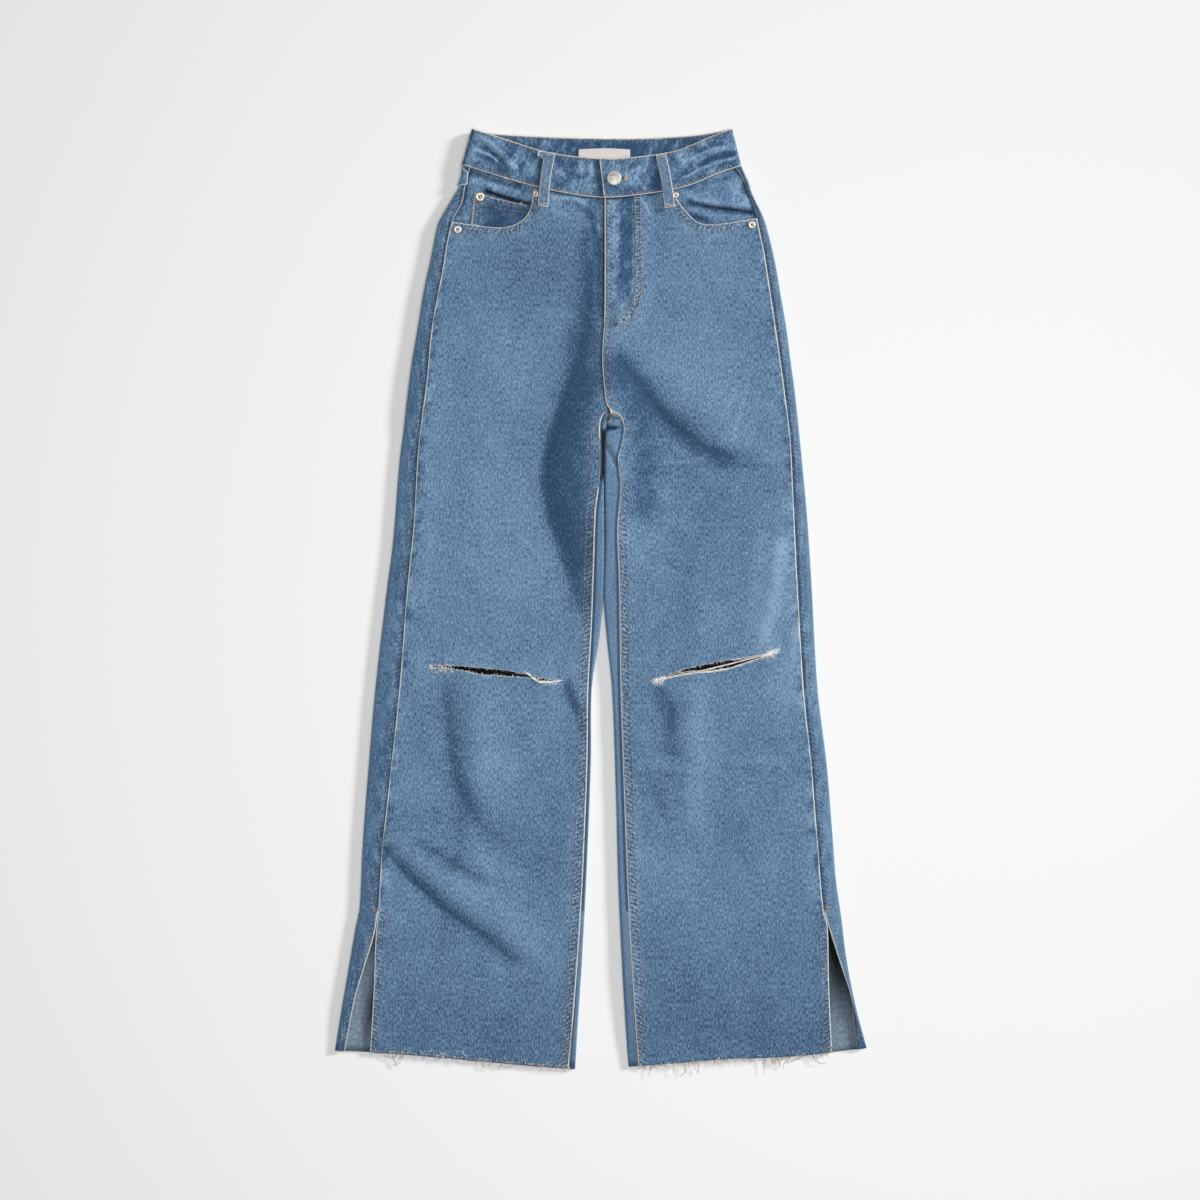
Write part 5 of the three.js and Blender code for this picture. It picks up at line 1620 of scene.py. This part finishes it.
for x_low, x_high in ((-148, -70), (-56, -3), (2, 62), (78, 150)):
    xs = np.linspace(x_low, x_high, 40) * MM
    sew(tan_rows, run_at(xs, band_front_top(xs) - 2.4 * MM), band_front_surface)
    sew(tan_rows, run_at(xs, waist_y(xs) + 2.4 * MM), band_front_surface)
sew(tan_rows, np.array([[2.1, 470.6], [2.1, 511]]) * MM, band_front_surface)
xs = np.linspace(-122, 136, 60) * MM
sew(tan_rows, run_at(xs, band_back_top(xs) - 2.2 * MM), band_inside)

coin_top = np.array([[-146, 471.6], [-128, 465.6], [-112, 461], [-98, 459.6], [-86, 457.6]]) * MM
coin_left = np.array([[-146.2, 470], [-150.6, 440]]) * MM
for offset in (0, 7.0):
    sew(tan_rows, offset_run(coin_top, -offset * MM), lambda x, y: coin_floor + 1.1 * MM)
    sew(tan_rows, offset_run(coin_left, (1.6 + offset) * MM), lambda x, y: coin_floor + 0.5 * MM)

for name in FRONT_LOOPS:
    top_y, bottom_y = LOOPS[name][0][1], LOOPS[name][1][1]

    def on_loop(x, y, name=name, top_y=top_y, bottom_y=bottom_y):
        return loop_surface(name, np.array(0.68), (top_y - y / MM) / (top_y - bottom_y)) + 0.4 * MM

    x, y = loop_line(name, np.linspace(0.07, 0.93, 24))
    for across in (-1, 1):
        sew(tan_rows, run_at(x + across * 4.1 * MM, y + across * 0.4 * MM), on_loop, width=0.85 * MM)

joined_stitches("topstitching", tan_rows, tan_thread)
fly_thread = thread_material("fly_thread", (0.30, 0.21, 0.14), (0.64, 0.50, 0.36))
joined_stitches("fly_topstitching", fly_rows, fly_thread)

# ---- Bartacks and buttonhole ---------------------------------------------------------------------
# Dense zigzag tacks in orange thread where seams take strain, and the buttonhole's corded edge.


THREAD_PITCH = 0.62  # millimetres from one thread of a bartack to the next


def bartack(centre, angle, length, width, surface, rows=orange_rows):
    """Short threads side by side, length along angle in degrees, width across."""
    count = int(length / THREAD_PITCH)
    ux, uy = cos(radians(angle)), sin(radians(angle))
    for k in range(count):
        at = (k + 0.5) / count * length - length / 2
        lean = 0.35 * (1 if k % 2 else -1)
        a = ((centre[0] + at * ux - width / 2 * -uy - lean * ux) * MM,
             (centre[1] + at * uy - width / 2 * ux - lean * uy) * MM)
        b = ((centre[0] + at * ux + width / 2 * -uy + lean * ux) * MM,
             (centre[1] + at * uy + width / 2 * ux + lean * uy) * MM)
        za, zb = (height_on(surface, *p) + 0.25 * MM for p in (a, b))
        rows.append(((*a, za), (*b, zb), 0.75 * MM))


sew(orange_rows, np.array([[292.8, -461], [295, -490], [298.4, -524]]) * MM,
    lambda x, y: front_surface("left", x, y) + 0.1 * MM)
bartack((-93.5, 461.5), 75, 3.6, 1.8, lambda x, y: coin_floor + 1.2 * MM, worn_rows)
for name, centre, angle, length, width in (
        ("left", (8.2, 330.4), 0, 8.4, 1.5), ("left", (4.4, 318.5), 90, 4.6, 1.6),
        ("right", (-261.8, -362.6), 0, 9, 2.0), ("left", (265.4, -360.8), 0, 9, 2.0),
        ("left", (268, -524.5), 0, 9, 2.2)):
    bartack(centre, angle, length, width, on_front(name))
for name in FRONT_LOOPS:
    for t in (0.045, 0.955):
        x, y = loop_line(name, t)
        z = loop_surface(name, 0.0, t)
        bartack((x / MM, y / MM), 0, 9.6, 2.2, lambda px, py, z=z: z, worn_rows)
# The slot is drawn as near-black threads, as painted shade in the open slit.
hole_rows, slot_rows = [], []
for k in range(12):  # corded end of the buttonhole, past the button, and the slot that leads to it
    y = mix(486.8, 493.6, k / 11)
    half = 3.0 * sqrt(max(1 - ((y - 490.2) / 3.7) ** 2, 0.1))
    hole_rows.append((28.6, y, half))
for k in range(4):
    slot_rows.append((25.2, 489.2 + 0.65 * k, 2.2))
for rows, material, name in (
        (hole_rows, worn_thread, "buttonhole_end"), (slot_rows, painted_slot_shade, "buttonhole_slot")):
    threads = []
    for x, y, half in rows:
        ends = [((x + d) * MM, y * MM) for d in (-half, half)]
        z = [height_on(band_front_surface, *p) + 0.45 * MM for p in ends]
        threads.append(((*ends[0], z[0]), (*ends[1], z[1]), 0.66 * MM))
    joined_stitches(name, threads, material)
joined_stitches("loop_bartacks", worn_rows, worn_thread)
joined_stitches("bartacks", orange_rows, orange_thread)

# ---- Frays ---------------------------------------------------------------------------------------
# Loose cotton where the cloth is cut or torn: ivory weft across the rips, fuzz on their lips, and
# short ends with a few long curls at the raw hems.


def joined_threads(name, paths, material):
    """Thin threads, each a list of (x, y, z) with a radius, as one mesh of three-sided tubes."""
    sides = 3
    points, faces = [], []
    for path, radius in paths:
        path = np.asarray(path, float)
        step = np.gradient(path, axis=0)
        step = step / np.linalg.norm(step, axis=1)[:, None]
        across = np.cross(step, (0, 0, 1))
        across = across / np.maximum(np.linalg.norm(across, axis=1)[:, None], 1e-9)
        up = np.cross(across, step)
        base = sum(len(p) for p in points)
        taper = np.linspace(1, 0.6, len(path))[:, None] * radius
        for k in range(sides):
            turn = 2 * pi * k / sides
            points.append(path + taper * (cos(turn) * across + sin(turn) * up))
        n = len(path)
        for k in range(sides):
            this, that = base + k * n, base + (k + 1) % sides * n
            faces.extend([this + i, this + i + 1, that + i + 1, that + i] for i in range(n - 1))
        faces.append([base + k * n for k in range(sides)])
        faces.append([base + k * n + n - 1 for k in reversed(range(sides))])
    thread_piece(name, points, faces, material)


draw = np.random.default_rng(83)


def loose_end(x, y, z, heading, length, curl, lift=0.4 * MM, steps=6):
    """A thread that leaves (x, y, z) along heading and curls as it goes."""
    path = [(x, y, z)]
    bend = draw.normal(0, curl)
    for k in range(steps):
        heading += bend / steps + draw.normal(0, 0.12)
        x, y = x + length / steps * cos(heading), y + length / steps * sin(heading)
        z = max(z + draw.normal(0, lift / steps) - 0.1 * MM, 0.25 * MM)
        path.append((x, y, z))
    return path


fuzz = {"right": [], "left": []}
for name in LEGS:
    (upper, lower), (low_x, high_x) = rip_lips(name), rip_ends(name)
    for _ in range(330):
        x = draw.uniform(low_x + 4, high_x - 3) * MM
        on_upper = draw.random() < 0.5
        lip_y = float((upper if on_upper else lower)(x))
        gap = float(upper(x) - lower(x))
        z = height_on(on_front(name), x, lip_y) - draw.uniform(0.1, 0.9) * MM
        heading = (-pi / 2 if on_upper else pi / 2) + draw.normal(0, 0.8)
        heading += pi if draw.random() < 0.3 else 0
        length = draw.uniform(0.8, 1.4 + 0.25 * gap / MM) * MM
        fuzz[name].append((loose_end(x, lip_y, z, heading, length, 1.0), draw.uniform(0.12, 0.26) * MM))

for _ in range(70):  # the right rip's knotted left end
    x, y = draw.uniform(-198, -172), draw.uniform(-86, -77)
    z = height_on(on_front("right"), x * MM, y * MM) + 0.3 * MM
    path = loose_end(x * MM, y * MM, z, draw.normal(pi, 0.7), draw.uniform(3, 9) * MM, 1.6)
    fuzz["right"].append((path, draw.uniform(0.14, 0.26) * MM))
for _ in range(40):  # its frayed lower lip towards the right end
    x = draw.uniform(-82, -48)
    y = float(rip_lips("right")[1](x * MM)) / MM
    z = height_on(on_front("right"), x * MM, y * MM) + 0.2 * MM
    fuzz["right"].append((loose_end(x * MM, (y + draw.uniform(0, 1.8)) * MM, z, draw.normal(0, 0.35),
                                    draw.uniform(4, 11) * MM, 0.5), draw.uniform(0.16, 0.3) * MM))

upper, lower = rip_lips("left")
# Ropes of weft that still bridge the left rip: [x, share of the gap] points.
ROPES = [
    ([[62, 0.1], [80, 0.2], [100, 0.15], [122, 0.28], [140, 0.45], [158, 0.6], [176, 0.7], [206, 0.9]], 5),
    ([[108, 0.1], [130, -0.05], [150, 0.0], [168, 0.1], [186, 0.3], [204, 0.5]], 4),
    ([[70, 0.5], [84, 0.6], [100, 0.5], [114, 0.3]], 2),
    ([[150, 0.95], [170, 0.9], [202, 1.1]], 2),
]
for rope, strands in ROPES:
    at, share_at = np.array(rope).T
    for _ in range(strands):
        low_x, high_x = at[0] + draw.uniform(-2, 8), at[-1] - draw.uniform(-2, 8)
        xs = np.linspace(low_x, high_x, 26)
        share = np.interp(xs, at, share_at) + draw.normal(0, 0.05)
        wave = 0.45 * MM * np.sin(np.linspace(0, draw.uniform(3, 12), 26) + draw.uniform(0, 6))
        xs = xs * MM
        ys = lower(xs) + share * (upper(xs) - lower(xs)) + wave
        zs = front_surface("left", xs, ys) + draw.uniform(-0.2, 0.8) * MM
        fuzz["left"].append((np.stack([xs, ys, zs], axis=1), draw.uniform(0.32, 0.5) * MM))
for _ in range(9):  # the twisted rope at the right rip's low end
    at = np.array([[-92, -85], [-84, -88.2], [-79, -93.5], [-72.5, -97.8], [-60, -97.2], [-48, -95.4]])
    at = at + draw.normal(0, 0.5, at.shape)
    xs = np.linspace(at[0][0] + draw.uniform(0, 6), at[-1][0] - draw.uniform(0, 6), 24)
    ys = np.interp(xs, at[:, 0], at[:, 1]) + 0.4 * np.sin(np.linspace(0, 9, 24) + draw.uniform(0, 6))
    zs = front_surface("right", xs * MM, ys * MM) + draw.uniform(0.1, 1.0) * MM
    fuzz["right"].append((np.stack([xs * MM, ys * MM, zs], axis=1), draw.uniform(0.3, 0.48) * MM))
for low_x, high_x, heading in ((186, 204, 0.35), (64, 76, 3.6)):
    for _ in range(80):  # the frayed bundles at its two ends
        x = draw.uniform(low_x, high_x) * MM
        y = float(lower(x)) + draw.uniform(-1.2, 3.4) * MM
        z = height_on(on_front("left"), x, y) + 0.2 * MM
        path = loose_end(x, y, z, heading + draw.normal(0, 0.6), draw.uniform(4, 11) * MM, 0.9)
        fuzz["left"].append((path, draw.uniform(0.18, 0.34) * MM))

for name in LEGS:
    joined_threads(f"rip_threads_{name}", fuzz[name], ivory_thread)


def hem_ends_of(leg):
    """x of both ends of a front's hem in millimetres, from low to high."""
    return sorted((leg.side_seam(HEM_Y) / MM, leg.inseam(-546 * MM) / MM))


hem_ends = []
for name, leg in LEGS.items():
    low, high = hem_ends_of(leg)
    for _ in range(190):
        x = draw.uniform(low, high) * MM
        y = float(hem_y(x)) + 2.0 * MM
        z = height_on(on_front(name), x, y) + 0.3 * MM
        length = draw.uniform(1.6, 4.0) if draw.random() < 0.75 else draw.uniform(5, 10)
        hem_ends.append((loose_end(x, y, z, -pi / 2 + draw.normal(0, 0.7), length * MM, 1.6),
                         draw.uniform(0.24, 0.4) * MM))
for x in (-243, -236, -231, -228, -190, -143, -136, -128, -118, -113, -109, -100, 60, 84, 96, 108, 112,
          190, 200, 206, 222, 236, 248):
    y = float(hem_y(x * MM)) + 1.2 * MM
    heading = -pi / 2 + draw.normal(0, 0.5)
    path = loose_end(x * MM, y, 3.6 * MM, heading, draw.uniform(11, 22) * MM, 2.4, steps=14)
    hem_ends.append((path, draw.uniform(0.36, 0.5) * MM))
joined_threads("hem_frays", hem_ends, fray_thread)

white_ends = []
for name, leg in LEGS.items():
    low, high = hem_ends_of(leg)
    for _ in range(26):
        x = draw.uniform(low, high) * MM
        y = float(hem_y(x)) + draw.uniform(1, 5) * MM
        z = height_on(on_front(name), x, y) + 0.35 * MM
        path = loose_end(x, y, z, -pi / 2 + draw.normal(0, 0.8), draw.uniform(4, 10) * MM, 1.8)
        path = [(px, py, max(pz, z - 0.2 * MM) if py > hem_y(px) else pz) for px, py, pz in path]
        white_ends.append((path, draw.uniform(0.22, 0.36) * MM))
joined_threads("hem_weft_ends", white_ends, ivory_thread)

# The crotch seams' ends gather into a knot of threads that fans over the right-hand leg.
crotch_thread = thread_material("crotch_thread", (0.36, 0.35, 0.33), (0.80, 0.77, 0.72))
knot = []


def bent_line(start, bow, end, count):
    """Points from start to end, pulled towards bow."""
    t = np.linspace(0, 1, count)[:, None]
    return (1 - t) ** 2 * start + 2 * t * (1 - t) * bow + t ** 2 * end


for k in range(13):
    share = (k + draw.uniform(0, 1)) / 13
    end = np.array([mix(11, 26.5, share), mix(202, 205, share)]) + draw.normal(0, 0.4, 2)
    bow = np.array([mix(11, 23, share), mix(211, 215, share)]) + draw.normal(0, 0.5, 2)
    start = np.array([mix(9.6, 13, share), mix(220, 219.6, share)]) + draw.normal(0, 0.4, 2)
    line = bent_line(start, bow, end, 9)
    z = front_surface("left", np.maximum(line[:, 0], 22) * MM, line[:, 1] * MM) + draw.uniform(0.2, 0.9) * MM
    knot.append((np.column_stack([line * MM, z]), draw.uniform(0.2, 0.36) * MM))
for k in range(6):  # the seam allowance's own end hooks back to the right leg
    line = bent_line(np.array([10, 221]), np.array([15.5, 210]), np.array([8, 204.5]), 8)
    line = line + draw.normal(0, 0.3, 2)
    z = front_surface("left", np.full(8, 26 * MM), line[:, 1] * MM) + draw.uniform(1.2, 2.2) * MM
    knot.append((np.column_stack([line * MM, z]), 0.45 * MM))
joined_threads("crotch_knot", knot, crotch_thread)
